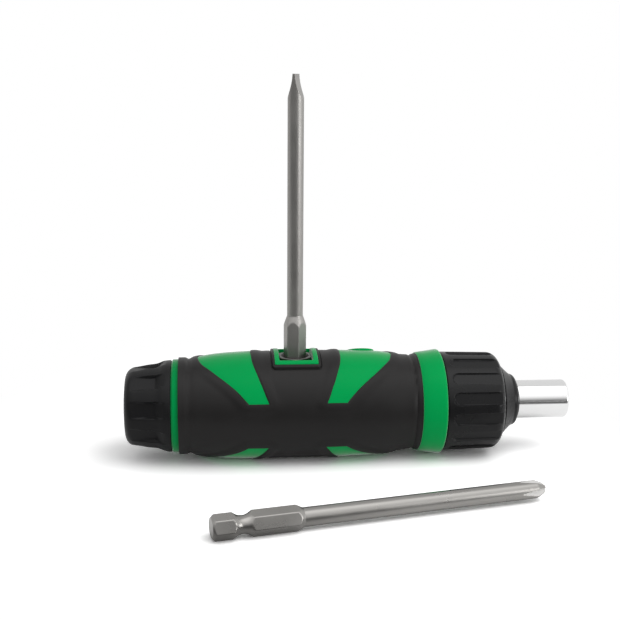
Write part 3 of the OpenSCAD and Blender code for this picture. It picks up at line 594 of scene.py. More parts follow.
@dataclass
class SocketFrame:
    """The raised frame of the side socket."""

    half_len: float = 6.85
    half_w: float = 8.65
    bar: float = 1.55
    top_r: float = 17.85
    pocket: float = 3.2
    edge_r: float = 0.28
    corner_r: float = 0.5
    end_deg: float = 29.6
    bush_r: float = 5.85

    def build(self, solid: Solid, axis: DriveAxis) -> None:
        """Adds the frame, with its rounded bars and the pocket's floor.

        Args:
            solid: Solid of the handle body.
            axis: The drive axis.
        """
        floor = axis.height + self.top_r - self.pocket
        base = floor - self.bar
        inner_len, inner_w = self.half_len - self.bar, self.half_w - self.bar
        e = self.edge_r
        edge = [(e * (1 - math.cos(t)), e * (1 - math.sin(t))) for t in np.linspace(0, QUARTER, 5)]
        top = edge + [(self.bar - inset, drop) for inset, drop in edge[::-1]]
        rings = [self.ring(self.half_len, self.half_w, self.corner_r, base)]
        rings += [self.top_ring(inset, drop, axis) for inset, drop in top]
        rings.append(self.ring(inner_len, inner_w, self.corner_r, floor))
        rings += [self.circle(self.bush_r, z) for z in (floor, base)]
        solid.loft(np.stack(rings), loop=True)

    def ring(self, half_x: float, half_y: float, corner: float, z: float) -> np.ndarray:
        """Rounded rectangle at one height, as a closed ring of points."""
        per_side, per_corner = 12, 6
        share = (np.arange(1, per_side) / per_side)[:, None]
        bends = []
        for k, signs in enumerate(((1, 1), (-1, 1), (-1, -1), (1, -1))):
            turn = QUARTER * k + np.linspace(0, QUARTER, per_corner)
            centre = np.array(signs) * (half_x - corner, half_y - corner)
            bends.append(centre + corner * np.column_stack([np.cos(turn), np.sin(turn)]))
        rows = []
        for bend, after in zip(bends, bends[1:] + bends[:1]):
            rows += [bend, bend[-1] + (after[0] - bend[-1]) * share]
        flat = np.concatenate(rows)
        return np.column_stack([flat, np.full(len(flat), z)])

    def top_ring(self, inset: float, drop: float, axis: DriveAxis) -> np.ndarray:
        """Ring on the frame's top, which follows the round of the handle."""
        ring = self.ring(self.half_len - inset, self.half_w - inset, self.corner_r, 0.0)
        ring[:, 2] = axis.height + np.sqrt(self.top_r**2 - ring[:, 1] ** 2) - drop
        return ring

    def circle(self, r: float, z: float) -> np.ndarray:
        """Circle with as many points as a ring, in the same order."""
        flat = self.ring(self.half_len, self.half_w, self.corner_r, z)
        return ring_at(r, np.arctan2(flat[:, 1], flat[:, 0]), z)


@dataclass
class Grip:
    """The soft overmould with its beads, rolled window edges and rim round the socket frame."""

    line: GripLine
    hole: SocketFrame
    axis: DriveAxis
    thickness: float = 1.75
    bead_h: float = 0.3
    bead_flat: float = 1.5
    bead_end: float = 4.6
    valley_at: float = 3.5
    valley_half: float = 0.8
    valley_depth: float = 0.1
    roll_r: float = 0.4
    roll_share: float = 0.8
    rim_w: float = 1.0
    rim_narrow: float = 1.7
    rim_fall: float = 0.5
    rim_proud: float = 0.26
    rim_roll: float = 0.18
    moat_depth: float = 0.24
    moat_half: float = 0.3
    moat_end_deg: float = 38.0
    lip_in: float = 2.4
    lip_step: float = 0.3
    lip_ease: tuple[float, float] = (0.3, 0.9)
    neck_in: float = 3.5
    neck_half: float = 0.9
    neck_depth: float = 0.3
    crease_in: float = 1.8
    crease_half: float = 0.5
    crease_depth: float = 0.5
    overlap: float = 0.12
    floor_skin: float = 0.4
    edge_samples: int = 600
    window_sections: tuple[int, int] = (1, 7)
    hole_section: int = 4

    def angles(self) -> np.ndarray:
        """Angles of the columns in degrees, with knots at the ends of the windows and the frame."""
        windows = (self.line.upper_deg, self.line.lower_deg)
        return both_sides((0, self.hole.end_deg, self.moat_end_deg, *windows, 180), (10, 22, 14, 26, 16))

    def stations(self, deg: np.ndarray) -> tuple[np.ndarray, np.ndarray]:
        """Stations of the grid's rows at each angle.

        Args:
            deg: Angles of the columns.

        Returns:
            Stations, rows by columns, and the section number of each row of cells.
        """
        turn = turn_of(deg)
        near, far = self.line.near(turn) + self.overlap, self.line.far(turn) - self.overlap
        hole = np.full_like(near, self.hole.half_len)
        rim = hole + (self.rim_w + self.rim_fall + 2 * self.moat_half) / self.rim_narrow
        rear, front = np.full_like(near, self.line.rear), np.full_like(near, self.line.front)
        knots = [rear, -far, -near, -rim, -hole, hole, rim, near, far, front]
        counts = [30, 14, 12, 16, 10, 16, 12, 14, 30]
        rows, section = [], []
        for k, count in enumerate(counts):
            t = graded(0, 1, count)
            rows += [knots[k] + (knots[k + 1] - knots[k]) * s for s in t]
            section += [k] * count
        rows.append(knots[-1])
        return np.stack(rows), np.array(section)

    def edge_distance(self, x: np.ndarray, deg: np.ndarray) -> np.ndarray:
        """Distance over the surface from each point to the nearest window edge, mm."""
        per_deg = math.radians(1) * self.line.belly_r
        edges = []
        for start, end in ((0, self.line.upper_deg), (self.line.lower_deg, 180)):
            span = np.linspace(start, end, self.edge_samples)
            stop = np.array(end if end < 180 else start)
            cross = np.linspace(self.line.near(stop), self.line.far(stop), self.edge_samples)
            edges.append(np.column_stack([self.line.near(span), span * per_deg]))
            edges.append(np.column_stack([self.line.far(span), span * per_deg]))
            edges.append(np.column_stack([cross, np.full(len(cross), stop * per_deg)]))
        edge = np.concatenate(edges)
        tree = KDTree(len(edge))
        for i, (px, ps) in enumerate(edge):
            tree.insert((px, ps, 0.0), i)
        tree.balance()
        flat = np.column_stack([np.abs(x).ravel(), (turn_of(deg) * per_deg).ravel()])
        return np.array([tree.find((px, ps, 0.0))[2] for px, ps in flat]).reshape(x.shape)

    def build(self) -> None:
        """Builds and dresses the overmould."""
        deg = self.angles()
        x, section = self.stations(deg)
        degs = np.broadcast_to(deg, x.shape)
        turn = turn_of(degs)
        away = self.edge_distance(x, degs)
        bead = self.bead_h * (1 - ease(self.bead_flat, self.bead_end, away))
        out_x = np.maximum(np.abs(x) - self.hole.half_len, 0)
        out_s = np.maximum((turn - self.hole.end_deg) * math.radians(1) * self.line.belly_r, 0)
        rim_away = np.hypot(out_x * self.rim_narrow, out_s)
        foot = self.rim_w + self.rim_fall
        rim = (self.bead_h + self.rim_proud) * (1 - ease(self.rim_w, foot, rim_away))
        moat = self.moat_depth * hump(rim_away - foot, self.moat_half)
        valley = self.valley_depth * hump(away - self.valley_at, self.valley_half)
        valley *= ease(foot, foot + self.valley_half, rim_away)
        lip_end = self.line.rear + self.lip_in
        lip = self.lip_step * (1 - ease(lip_end - self.lip_ease[0], lip_end + self.lip_ease[1], x))
        crease = self.crease_depth * hump(x - self.line.front + self.crease_in, self.crease_half)
        crease += self.neck_depth * hump(x - self.line.rear - self.neck_in, self.neck_half)
        line_r = self.line.radius(x)
        relief = np.maximum(np.maximum(bead, rim), lip) - self.bead_h - crease - valley - moat
        relief -= self.rolled(away - self.overlap, self.roll_r) + self.rolled(rim_away, self.rim_roll)
        outer = self.axis.points(x, line_r + relief, np.radians(degs), 0.0)
        inner = self.axis.points(x, line_r - self.thickness, np.radians(degs), self.floor_skin)
        cell_deg = cell_turn(deg)
        in_span = (cell_deg < self.line.upper_deg) | (cell_deg > self.line.lower_deg)
        window = np.isin(section, self.window_sections)[:, None] & in_span[None, :]
        in_hole = (section == self.hole_section)[:, None] & (cell_deg < self.hole.end_deg)[None, :]
        solid = Solid()
        solid.shell(outer, inner, ~(window | in_hole), wrap=True)
        piece = solid.piece("soft_grip", sharp_deg=40)
        dress(piece, "handle", OVERMOULD, "black_rubber", "rubber_grip")

    def rolled(self, away: np.ndarray, radius: float) -> np.ndarray:
        """Drop of an edge rounded to a radius, at a distance from its opening, mm."""
        t = np.clip(1 - away / radius, 0, 1)
        return radius * (1 - np.sqrt(1 - t * t)) * self.roll_share


@dataclass
class HandleBody:
    """The green body: tube, window lands, socket frame, front ring and boss."""

    line: GripLine
    hole: SocketFrame
    axis: DriveAxis
    land_drop: float = 0.3
    land_under: float = 0.1
    skin: float = 1.8
    bore_r: float = 11.55
    seat_r: float = 12.03
    seat_end: float = -27.5
    chamber_r: float = 9.5
    chamber_end: float = -8.6
    ring_front: float = 46.8
    ring_r: float = 16.85
    ring_back_r: float = 15.9
    ring_edge_r: float = 0.8
    flare_shares: tuple[float, ...] = (0.03, 0.35, 0.7)
    boss_x: float = 21.6
    boss_r: float = 4.7
    boss_rim: float = 0.85
    boss_proud: float = 0.15
    boss_edge: float = 0.3
    boss_h: float = 2.4
    boss_turn_deg: float = -23.0
    wall: float = 1.2
    opening_in: float = 0.6
    opening_in_deg: float = 2.0
    tube_skin: float = 0.45
    land_skin: float = 0.5
    ring_seam: float = 0.12
    axis_r: float = 0.05
    columns: int = 144

    def build(self) -> None:
        """Builds and dresses the green body."""
        solid = Solid()
        self.tube(solid)
        for side in (-1, 1):
            self.land(solid, side, 0.0, self.line.upper_deg)
            self.land(solid, side, 180.0, 180 - self.line.lower_deg)
        self.hole.build(solid, self.axis)
        for line in (self.ring_line(), self.chamber_line()):
            solid.loft(self.axis.lathe(line, self.columns), loop=True)
        self.boss(solid)
        piece = solid.piece("green_handle_body", sharp_deg=32)
        dress(piece, "handle", GREEN_ABS, "green_plastic", "handle_core")

    def tube(self, solid: Solid) -> None:
        """Adds the tube under the rubber, with the opening for the side socket."""
        end_deg = self.hole.end_deg - self.opening_in_deg
        deg = both_sides((0, end_deg, 180), (8, 40))
        edge = self.hole.half_len - self.opening_in
        x = np.concatenate(
            [np.linspace(self.line.rear, -edge, 24), np.linspace(-edge, edge, 8)[1:],
             np.linspace(edge, self.line.front, 24)[1:]]
        )
        grid = np.broadcast_to(x[:, None], (len(x), len(deg)))
        a = np.radians(deg)[None, :]
        outer = self.axis.points(grid, self.line.radius(grid) - self.skin, a, self.tube_skin)
        inner = self.axis.points(grid, np.where(grid < 0, self.seat_r, self.bore_r), a)
        cell_x = np.abs((x[1:] + x[:-1]) / 2) < edge
        cell_a = cell_turn(deg) < end_deg
        solid.shell(outer, inner, ~(cell_x[:, None] & cell_a[None, :]), wrap=True)

    def land(self, solid: Solid, side: int, top_deg: float, half_deg: float) -> None:
        """Adds one window land, as a smooth patch that reaches under the rubber's edge.

        Args:
            solid: Solid of the body.
            side: Rear, minus one, or front, one.
            top_deg: Angle of the land's middle.
            half_deg: Half of its span.
        """
        reach = half_deg + math.degrees(self.land_under / self.line.belly_r)
        deg = np.linspace(-reach, reach, 48)
        inside = np.clip(np.abs(deg), 0, half_deg)
        at = inside if top_deg == 0 else 180 - inside
        near, far = self.line.near(at) - self.land_under, self.line.far(at) + self.land_under
        t = np.linspace(0, 1, 22)
        x = side * (near[None, :] + (far - near)[None, :] * t[:, None])
        a = np.radians(top_deg + deg)[None, :]
        outer = self.axis.points(x, self.line.radius(x) - self.land_drop, a, 0.0)
        inner = self.axis.points(x, self.line.radius(x) - self.skin - self.land_under, a, self.land_skin)
        solid.shell(outer, inner, np.ones((x.shape[0] - 1, x.shape[1] - 1), bool), wrap=False)

    def ring_line(self) -> Line:
        """Closed line of the flared front ring."""
        start, e = self.line.front, self.ring_edge_r
        run, rise = self.ring_front - e - start, self.ring_r - self.ring_back_r
        back = [(start, self.bore_r), (start, self.ring_back_r - self.ring_seam)]
        flare = [(start + run * t, self.ring_back_r + rise * t) for t in self.flare_shares]
        edge = arc(self.ring_front - e, self.ring_r - e, e, 0, QUARTER, 8)
        return back + flare + edge + [(self.ring_front, self.bore_r)]

    def chamber_line(self) -> Line:
        """Closed line of the storage chamber's wall and floor, with a small hole left on the axis."""
        end, floor = self.chamber_end, self.chamber_end + self.wall
        inside = [(self.seat_end, self.chamber_r), (end, self.chamber_r), (end, self.axis_r)]
        return inside + [(floor, self.axis_r), (floor, self.seat_r), (self.seat_end, self.seat_r)]

    def boss(self, solid: Solid) -> None:
        """Adds the round boss with its raised rim."""
        top = float(self.line.radius(np.array(self.boss_x))) - self.land_drop + self.boss_proud
        inner, e = self.boss_r - self.boss_rim, self.boss_edge
        line = [(self.boss_r, top - self.boss_h)] + arc(self.boss_r - e, top - e, e, QUARTER, 0, 5)
        line += arc(inner + e, top - e, e, 0, -QUARTER, 5) + [(inner, top - self.boss_h)]
        a = circle(self.columns // 2)
        lean = math.radians(self.boss_turn_deg)
        rings = []
        for r, z in line:
            side = r * np.sin(a)
            back = side * math.cos(lean) - z * math.sin(lean)
            up = side * math.sin(lean) + z * math.cos(lean)
            rings.append(np.column_stack([self.boss_x + r * np.cos(a), back, self.axis.height + up]))
        solid.loft(np.stack(rings), loop=True)


@dataclass
class Cap:
    """The screw cap with its finger recesses, its spigot and its thread."""

    axis: DriveAxis
    front: float = -39.2
    length: float = 15.0
    front_r: float = 14.6
    rear_r: float = 12.6
    end_r: float = 3.6
    dome: float = 0.5
    dome_line: Shares = ((0, 0.4), (0.1, 4.0), (0.3, 7.2))
    edge: float = 0.3
    edge_bow: tuple[float, float] = (0.08, 0.1)
    recesses: int = 9
    recess_turn_deg: float = 39.0
    recess_half: float = 2.5
    recess_floor: float = 12.2
    recess_front: float = 1.6
    recess_runout: float = 3.2
    recess_wall: tuple[float, float] = (0.25, 0.2)
    edge_soft: float = 0.5
    neck_r: float = 10.89
    neck_len: float = 1.1
    neck_seam: float = 0.01
    spigot_r: float = 9.6
    spigot_len: float = 8.0
    thread_h: float = 1.0
    thread_half: float = 0.75
    thread_flank: float = 0.35
    thread_start: float = 2.2
    thread_turns: float = 1.5
    pitch: float = 3.0
    hollow_r: float = 7.6
    hollow_edge: float = 1.0
    wall: float = 2.5
    line_shares: Shares = (
        (0, 0), (0.33, 0.3), (0.56, 0.45), (0.67, 0.6), (0.78, 0.84), (0.9, 0.96), (1, 1),
    )

    def angles(self) -> np.ndarray:
        """Angles of the columns, close together at the recess walls."""
        halfway_r = self.recess_floor + 1
        wall_deg = math.degrees(math.asin(self.recess_half / halfway_r))
        half = [0, 0.35, 0.65, 0.82, 0.9, 0.96, 1.02, 1.08, 1.16, 1.3, 1.55]
        return np.radians(repeated(half, wall_deg, self.recesses) + self.recess_turn_deg)

    def recess_cut(self, x: float, r: float, a: np.ndarray) -> np.ndarray:
        """Radius left by the finger recesses at one station.

        Args:
            x: Station, mm.
            r: Radius of the plain cap there, mm.
            a: Angles, radians.

        Returns:
            The radii, mm.
        """
        off = fold(a - math.radians(self.recess_turn_deg), FULL_TURN / self.recesses)
        start = self.front - self.recess_front - self.recess_runout
        rise = max(x - start, 0) / self.recess_runout
        floor = self.recess_floor + (self.front_r - self.recess_floor) * rise
        cut = soft_min(np.full_like(a, r), floor / np.cos(off), self.edge_soft)
        inner, outer = self.recess_half - self.recess_wall[0], self.recess_half + self.recess_wall[1]
        return cut + (r - cut) * ease(inner, outer, np.abs(r * np.sin(off)))

    def build(self) -> None:
        """Builds and dresses the cap."""
        a = self.angles()
        front, end = self.front, self.front - self.length
        x_round = end + self.end_r + self.dome
        outer = [(end + x, r) for x, r in self.dome_line]
        outer += arc(x_round, self.rear_r - self.end_r, self.end_r, -QUARTER, 0, 12)
        for t in np.linspace(0, 1, 46)[1:]:
            rise = float(smooth(self.line_shares, t))
            x = x_round + (front - self.edge - x_round) * t
            outer.append((x, self.rear_r + (self.front_r - self.rear_r) * rise))
        rings = [self.axis.points(x, self.recess_cut(x, r, a), a) for x, r in outer]
        plain = [(front - self.edge_bow[0], self.front_r - self.edge_bow[1])]
        plain += [(front, self.front_r - self.edge), (front, self.neck_r)]
        plain.append((front + self.neck_len, self.neck_r))
        rings += [self.axis.points(x, r, a) for x, r in plain]
        for x in np.linspace(front + self.neck_len + self.neck_seam, front + self.spigot_len, 56):
            rings.append(self.axis.points(x, self.spigot_r + self.thread(x, a), a))
        floor = end + self.wall
        inside = [(front + self.spigot_len, self.hollow_r), (floor + self.hollow_edge, self.hollow_r)]
        inside += [(floor, self.hollow_r - self.hollow_edge), (floor, self.dome_line[0][1])]
        rings += [self.axis.points(x, r, a) for x, r in inside]
        piece = lofted("screw_cap", rings, sharp_deg=38, loop=False)
        dress(piece, "cap", DULL_NYLON, "black_plastic", "rear_cap")

    def thread(self, x: float, a: np.ndarray) -> np.ndarray:
        """Height of the right-hand thread's rib at a station, mm."""
        back = np.mod(np.arctan2(-np.sin(a), -np.cos(a)), FULL_TURN)
        height = np.zeros_like(a)
        for turn in range(int(self.thread_turns) + 1):
            done = back / FULL_TURN + turn
            centre = self.front + self.thread_start + self.pitch * done
            flank = np.clip((self.thread_half - np.abs(x - centre)) / self.thread_flank, 0, 1)
            height = np.maximum(height, self.thread_h * flank * (done <= self.thread_turns))
        return height


@dataclass
class Selector:
    """The fluted ring that sets the ratchet."""

    axis: DriveAxis
    rear: float = 47.1
    front: float = 66.0
    rear_r: float = 16.0
    front_r: float = 15.6
    edge_r: float = 3.4
    bore_r: float = 12.06
    rear_edge: Shares = ((0, 0.35), (0.12, 0.1))
    lip_r: float = 9.06
    lip_len: float = 2.6
    lip_edge: float = 0.25
    cam_seat: float = 12.0
    cam_shoulder: float = 0.6
    flutes: int = 15
    flute_half: float = 1.95
    flute_depth: float = 0.7
    flute_start: float = 1.8
    edge_soft: float = 0.13
    throw_deg: float = 20.0
    notch_r: float = 12.5
    notch_half: float = 0.6
    notch_flare: float = 0.576
    notch_len: float = 2.1
    notch_ramp: float = 0.05

    def angles(self) -> np.ndarray:
        """Angles of the columns, close together at the flute's edges."""
        edge_deg = math.degrees(math.asin(self.flute_half / self.front_r))
        half = [0, 0.3, 0.6, 0.8, 0.9, 0.95, 0.985, 1.02, 1.06, 1.12, 1.22, 1.4]
        return np.radians(repeated(half, edge_deg, self.flutes))

    def flute(self, x: float, r: float, a: np.ndarray) -> np.ndarray:
        """Radius left by the flutes at one station.

        Args:
            x: Station, mm.
            r: Radius of the plain ring there, mm.
            a: Angles, radians.

        Returns:
            The radii, mm.
        """
        off = fold(a, FULL_TURN / self.flutes)
        share = (x - self.rear) / (self.front - self.edge_r - self.rear)
        body = self.rear_r + (self.front_r - self.rear_r) * share
        floor = (body - self.flute_depth) / np.cos(off)
        cut = np.minimum(r, floor)
        centre = self.rear + self.flute_start + self.flute_half
        side = np.hypot(min(x - centre, 0.0), r * np.sin(off))
        inside = 1 - ease(self.flute_half - self.edge_soft, self.flute_half + self.edge_soft, side)
        return r + (cut - r) * inside

    def notched_bore(self, a: np.ndarray) -> np.ndarray:
        """Radius of the bore's rear end, with a notch for the detent leaf at each setting, mm."""
        r = np.full_like(a, self.bore_r)
        for setting in (-1, 0, 1):
            side = self.bore_r * np.abs(a - math.pi - setting * math.radians(self.throw_deg))
            flank = self.notch_r - (side - self.notch_half) / self.notch_flare
            r = np.maximum(r, np.minimum(self.notch_r, flank))
        return r

    def build(self) -> None:
        """Builds and dresses the ring."""
        a = self.angles()
        rear, front, lip_end = self.rear, self.front, self.front - self.lip_len
        x_arc = front - self.edge_r
        start, rounded = rear + self.flute_start, rear + self.flute_start + self.flute_half
        # Stations, closest together where the flutes begin
        runs = ((rear + 0.4, start - 0.2, 5), (start - 0.1, rounded + 0.4, 20), (rounded + 1, x_arc, 14))
        slope = self.front_r - self.rear_r
        line = [(rear, self.bore_r)] + [(rear + x, self.rear_r - drop) for x, drop in self.rear_edge]
        for x in np.concatenate([np.linspace(*run) for run in runs]):
            line.append((x, self.rear_r + slope * (x - rear) / (x_arc - rear)))
        line += arc(x_arc, self.front_r - self.edge_r, self.edge_r, 0, QUARTER, 20)[1:]
        line += [(front, self.lip_r + self.lip_edge), (front - self.lip_edge, self.lip_r)]
        seat, shoulder_r = rear + self.cam_seat, self.bore_r - self.cam_shoulder
        line += [(lip_end, self.lip_r), (lip_end, shoulder_r), (seat, shoulder_r), (seat, self.bore_r)]
        notch_end = rear + self.notch_len
        line.append((notch_end + self.notch_ramp, self.bore_r))
        rings = []
        for x, r in line:
            outside = r > self.front_r - self.edge_r
            rings.append(self.axis.points(x, self.flute(x, r, a) if outside else r, a))
        rings[0] = self.axis.points(rear, self.notched_bore(a), a)
        rings.append(self.axis.points(notch_end, self.notched_bore(a), a))
        piece = lofted("direction_ring", rings, sharp_deg=40, loop=True)
        dress(piece, "selector", BLACK_NYLON, "black_plastic", "selector_ring")


@dataclass
class Nose:
    """The flared nose that the chuck turns in."""

    axis: DriveAxis
    hub_start: float = 55.04
    hub_r: float = 6.9
    guide_start: float = 59.9
    guide_r: float = 9.0
    flange_x: float = 66.3
    flange_r: float = 11.8
    flange_len: float = 0.3
    flange_edge: Shares = ((0, 0.2), (0.06, 0.06), (0.2, 0))
    tip_x: float = 71.8
    tip_r: float = 8.4
    tip_edge: float = 1.6
    tip_start: float = 0.3
    sag: float = 0.14
    bore_r: float = 5.96
    bore_edge: float = 0.2
    columns: int = 144

    def build(self) -> None:
        """Builds and dresses the nose."""
        start, end, e = self.flange_x + self.flange_len, self.tip_x - self.tip_edge, self.tip_edge
        line = [(self.hub_start, self.bore_r), (self.hub_start, self.hub_r)]
        line += [(self.guide_start, self.hub_r), (self.guide_start, self.guide_r)]
        line.append((self.flange_x, self.guide_r))
        line += [(self.flange_x + x, self.flange_r - drop) for x, drop in self.flange_edge]
        for t in np.linspace(0, 1, 16):
            rise = (1 - t) * (1 - self.sag * t)
            line.append((start + (end - start) * t, self.tip_r + (self.flange_r - self.tip_r) * rise))
        line += arc(end, self.tip_r - e, e, self.tip_start, QUARTER, 10)
        line += [(self.tip_x, self.bore_r + self.bore_edge), (self.tip_x - self.bore_edge, self.bore_r)]
        rings = self.axis.lathe(line, self.columns)
        piece = lofted("nose_flare", rings, sharp_deg=40, loop=True)
        dress(piece, "handle", BLACK_NYLON, "black_plastic", "nose_collar")


def hex_corner(flat_half: float) -> float:
    """Radius of the corners of a hexagon with this half width across flats, mm."""
    return flat_half / math.cos(math.pi / 6)


def hex_radius(flat_half: float, a: np.ndarray, corner_share: float) -> np.ndarray:
    """Radius of a hexagon with a corner at angle nought.

    Args:
        flat_half: Half of the width across flats, mm.
        a: Angles, radians.
        corner_share: Share of the corner radius that the rounded corner keeps.

    Returns:
        The radii, mm.
    """
    sixth = FULL_TURN / 6
    r = flat_half / np.cos(np.mod(a, sixth) - sixth / 2)
    return np.minimum(r, hex_corner(flat_half) * corner_share)


@dataclass
class Chuck:
    """The polished bit holder with its hex socket."""

    axis: DriveAxis
    rear: float = 59.5
    shoulder: float = 72.1
    front: float = 88.8
    r: float = 6.2
    journal_r: float = 5.9
    edge: float = 0.9
    shoulder_edge: float = 0.12
    axis_r: float = 0.3
    flat_half: float = 3.225
    bottom: float = 71.8
    lead: float = 0.6
    groove_x: float = 83.3
    groove_half: float = 0.5
    groove_r: float = 3.9
    columns: int = 144

    def build(self) -> None:
        """Builds and dresses the chuck."""
        a = circle(self.columns)
        bore = hex_radius(self.flat_half, a, 1.0)
        lead_r = hex_corner(self.flat_half) + self.lead / 2
        ease_in, e = self.shoulder_edge, self.edge
        line = [(self.rear, self.axis_r), (self.rear, self.journal_r), (self.shoulder, self.journal_r)]
        line += [(self.shoulder, self.r - ease_in), (self.shoulder + ease_in, self.r)]
        line += arc(self.front - e, self.r - e, e, 0, QUARTER, 9) + [(self.front, lead_r)]
        for t in np.linspace(0, 1, 8)[1:]:
            cone = lead_r + (self.flat_half - lead_r) * t
            line.append((self.front - self.lead * t, np.maximum(bore, cone)))
        near, far = self.groove_x + self.groove_half, self.groove_x - self.groove_half
        line += [(near, bore), (near, self.groove_r), (far, self.groove_r), (far, bore)]
        line += [(self.bottom, bore), (self.bottom, self.axis_r)]
        rings = [self.axis.points(x, r, a) for x, r in line]
        piece = lofted("bit_holder", rings, sharp_deg=30, loop=False)
        dress(piece, "drive", CHUCK_STEEL, "chuck_steel", "chuck_sleeve")


@dataclass
class SocketBush:
    """The dark steel bush in the side socket, with its wide lead-in."""

    axis: DriveAxis
    flat_half: float = 5.1
    corner_share: float = 0.985
    top: float = 16.05
    edge: float = 0.2
    bottom: float = 0.4
    bore_half: float = 3.225
    clock_deg: float = -15.0
    lead_r: float = 4.45
    lead: float = 2.6
    columns: int = 144

    def build(self) -> None:
        """Builds and dresses the bush."""
        a = circle(self.columns)
        outer = hex_radius(self.flat_half, a - math.pi / 6, self.corner_share)
        bore = hex_radius(self.bore_half, a - math.radians(self.clock_deg), 1.0)
        line = [(bore, self.bottom), (outer, self.bottom)]
        line += [(outer, self.top - self.edge), (outer - self.edge, self.top)]
        for t in np.linspace(0, 1, 9):
            cone = self.lead_r + (self.bore_half - self.lead_r) * t
            line.append((np.maximum(bore, cone), self.top - self.lead * t))
        rings = [ring_at(r, a, self.axis.height + z) for r, z in line]
        piece = lofted("side_socket_bush", rings, sharp_deg=25, loop=True)
        dress(piece, "handle", BUSH_STEEL, "bush_steel", "t_socket_sleeve")


class Tip(Enum):
    """Kinds of bit tip."""

    FLAT = "flat"
    CROSS = "cross"


@dataclass
class Bit:
    """A long hex-shank bit."""

    tip: Tip
    shaft_r: float
    length: float
    cone: float
    flat_half: float = 3.175
    corner_share: float = 0.985
    shank: float = 23.4
    chamfer: float = 0.8
    groove_at: float = 8.5
    groove_root: float = 2.5
    groove_r: float = 3.75
    shank_soft: float = 0.12
    blade: float = 7.45
    blade_t: float = 0.8
    blade_hollow: float = 1.85
    blade_turn_deg: float = -6.0
    flute: float = 8.4
    flute_root: float = 0.6
    flute_half_deg: float = 46.0
    flute_soft: float = 0.06
    point_r: float = 1.15
    point_cone: float = 2.9
    point_round: float = 0.7
    flute_turn_deg: float = -38.0
    columns: int = 180

    def stations(self) -> np.ndarray:
        """Stations along the bit, close together where its section changes."""
        corner = hex_corner(self.flat_half)
        reach = math.sqrt(self.groove_r**2 - (self.groove_root + self.groove_r - corner) ** 2) + 0.3
        ends = self.length - (self.blade if self.tip is Tip.FLAT else self.flute)
        runs = (
            (0, self.chamfer * 1.6, 8),
            (self.chamfer * 2, self.groove_at - reach - 0.1, 4),
            (self.groove_at - reach, self.groove_at + reach, 22),
            (self.groove_at + reach + 0.2, self.shank - 0.8, 6),
            (self.shank - 0.6, self.shank + self.cone + 0.3, 20),
            (self.shank + self.cone + 1, ends - 3, 12),
            (ends - 2.5, self.length, 44),
        )
        return np.concatenate([np.linspace(*run) for run in runs])

    def section(self, z: float, a: np.ndarray) -> np.ndarray:
        """Radius of the bit round one station, mm."""
        if z <= self.shank + self.cone:
            r = self.shank_section(z, a)
        else:
            r = np.full_like(a, self.shaft_r)
        if self.tip is Tip.FLAT:
            share = max(self.length - z, 0) / self.blade
            half = self.blade_t / 2 + (self.shaft_r - self.blade_t / 2) * share**self.blade_hollow
            across = np.maximum(np.abs(np.cos(a - math.radians(self.blade_turn_deg))), NEAR_NOUGHT)
            return np.minimum(r, half / across) if half < self.shaft_r else r
        return self.cross_section(z, a, r)

    def shank_section(self, z: float, a: np.ndarray) -> np.ndarray:
        """Radius of the hex shank, its chamfer, groove and cone, mm."""
        corner = hex_corner(self.flat_half)
        limit = min(corner, self.flat_half - self.chamfer / 2 + z)
        if z > self.shank:
            limit = min(limit, corner + (self.shaft_r - corner) * (z - self.shank) / self.cone)
        gap = abs(z - self.groove_at)
        if gap < self.groove_r:
            rise = self.groove_r - math.sqrt(self.groove_r**2 - gap**2)
            limit = min(limit, self.groove_root + rise)
        return soft_min(hex_radius(self.flat_half, a, self.corner_share), limit, self.shank_soft)

    def point_limit(self, z: float) -> float:
        """Radius of the shaft and its blunt point without the flutes, mm."""
        share = min(max(self.length - z, 0) / self.point_cone, 1) ** self.point_round
        return self.point_r + (self.shaft_r - self.point_r) * share

    def cross_section(self, z: float, a: np.ndarray, r: np.ndarray) -> np.ndarray:
        """Radius of the cross tip, with its point and four flutes, mm."""
        back = self.length - z
        if back < self.point_cone:
            r = np.minimum(r, self.point_limit(z))
        root = self.flute_root + (self.shaft_r - self.flute_root) * back / self.flute
        off = np.abs(fold(a - math.radians(self.flute_turn_deg), QUARTER))
        slope = np.cos(off) - np.sin(off) / math.tan(math.radians(self.flute_half_deg))
        return soft_min(r, root / np.maximum(slope, NEAR_NOUGHT), self.flute_soft)

    def build(self, name: str, place: Matrix) -> bpy.types.Object:
        """Builds the bit along +Z and moves its points to their place.

        Args:
            name: Name of the piece.
            place: Turn and shift in mm.

        Returns:
            The object.
        """
        a = circle(self.columns)
        turn = np.array(place.to_3x3())
        shift = np.array(place.translation)
        rings = [ring_at(self.section(z, a), a, z) @ turn.T + shift for z in self.stations().tolist()]
        return lofted(name, rings, sharp_deg=22, loop=False)

    def grind(self, piece: bpy.types.Object, place: Matrix) -> None:
        """Puts the ground finish on the faces of the flutes."""
        piece.data.materials.append(TIP_STEEL.material())
        margin = 0.08
        back = place.inverted()
        for face in piece.data.polygons:
            spot = back @ (face.center / MM)
            inside = math.hypot(spot.x, spot.y) < self.point_limit(spot.z) - margin
            face.material_index = int(spot.z > self.length - self.flute and inside)


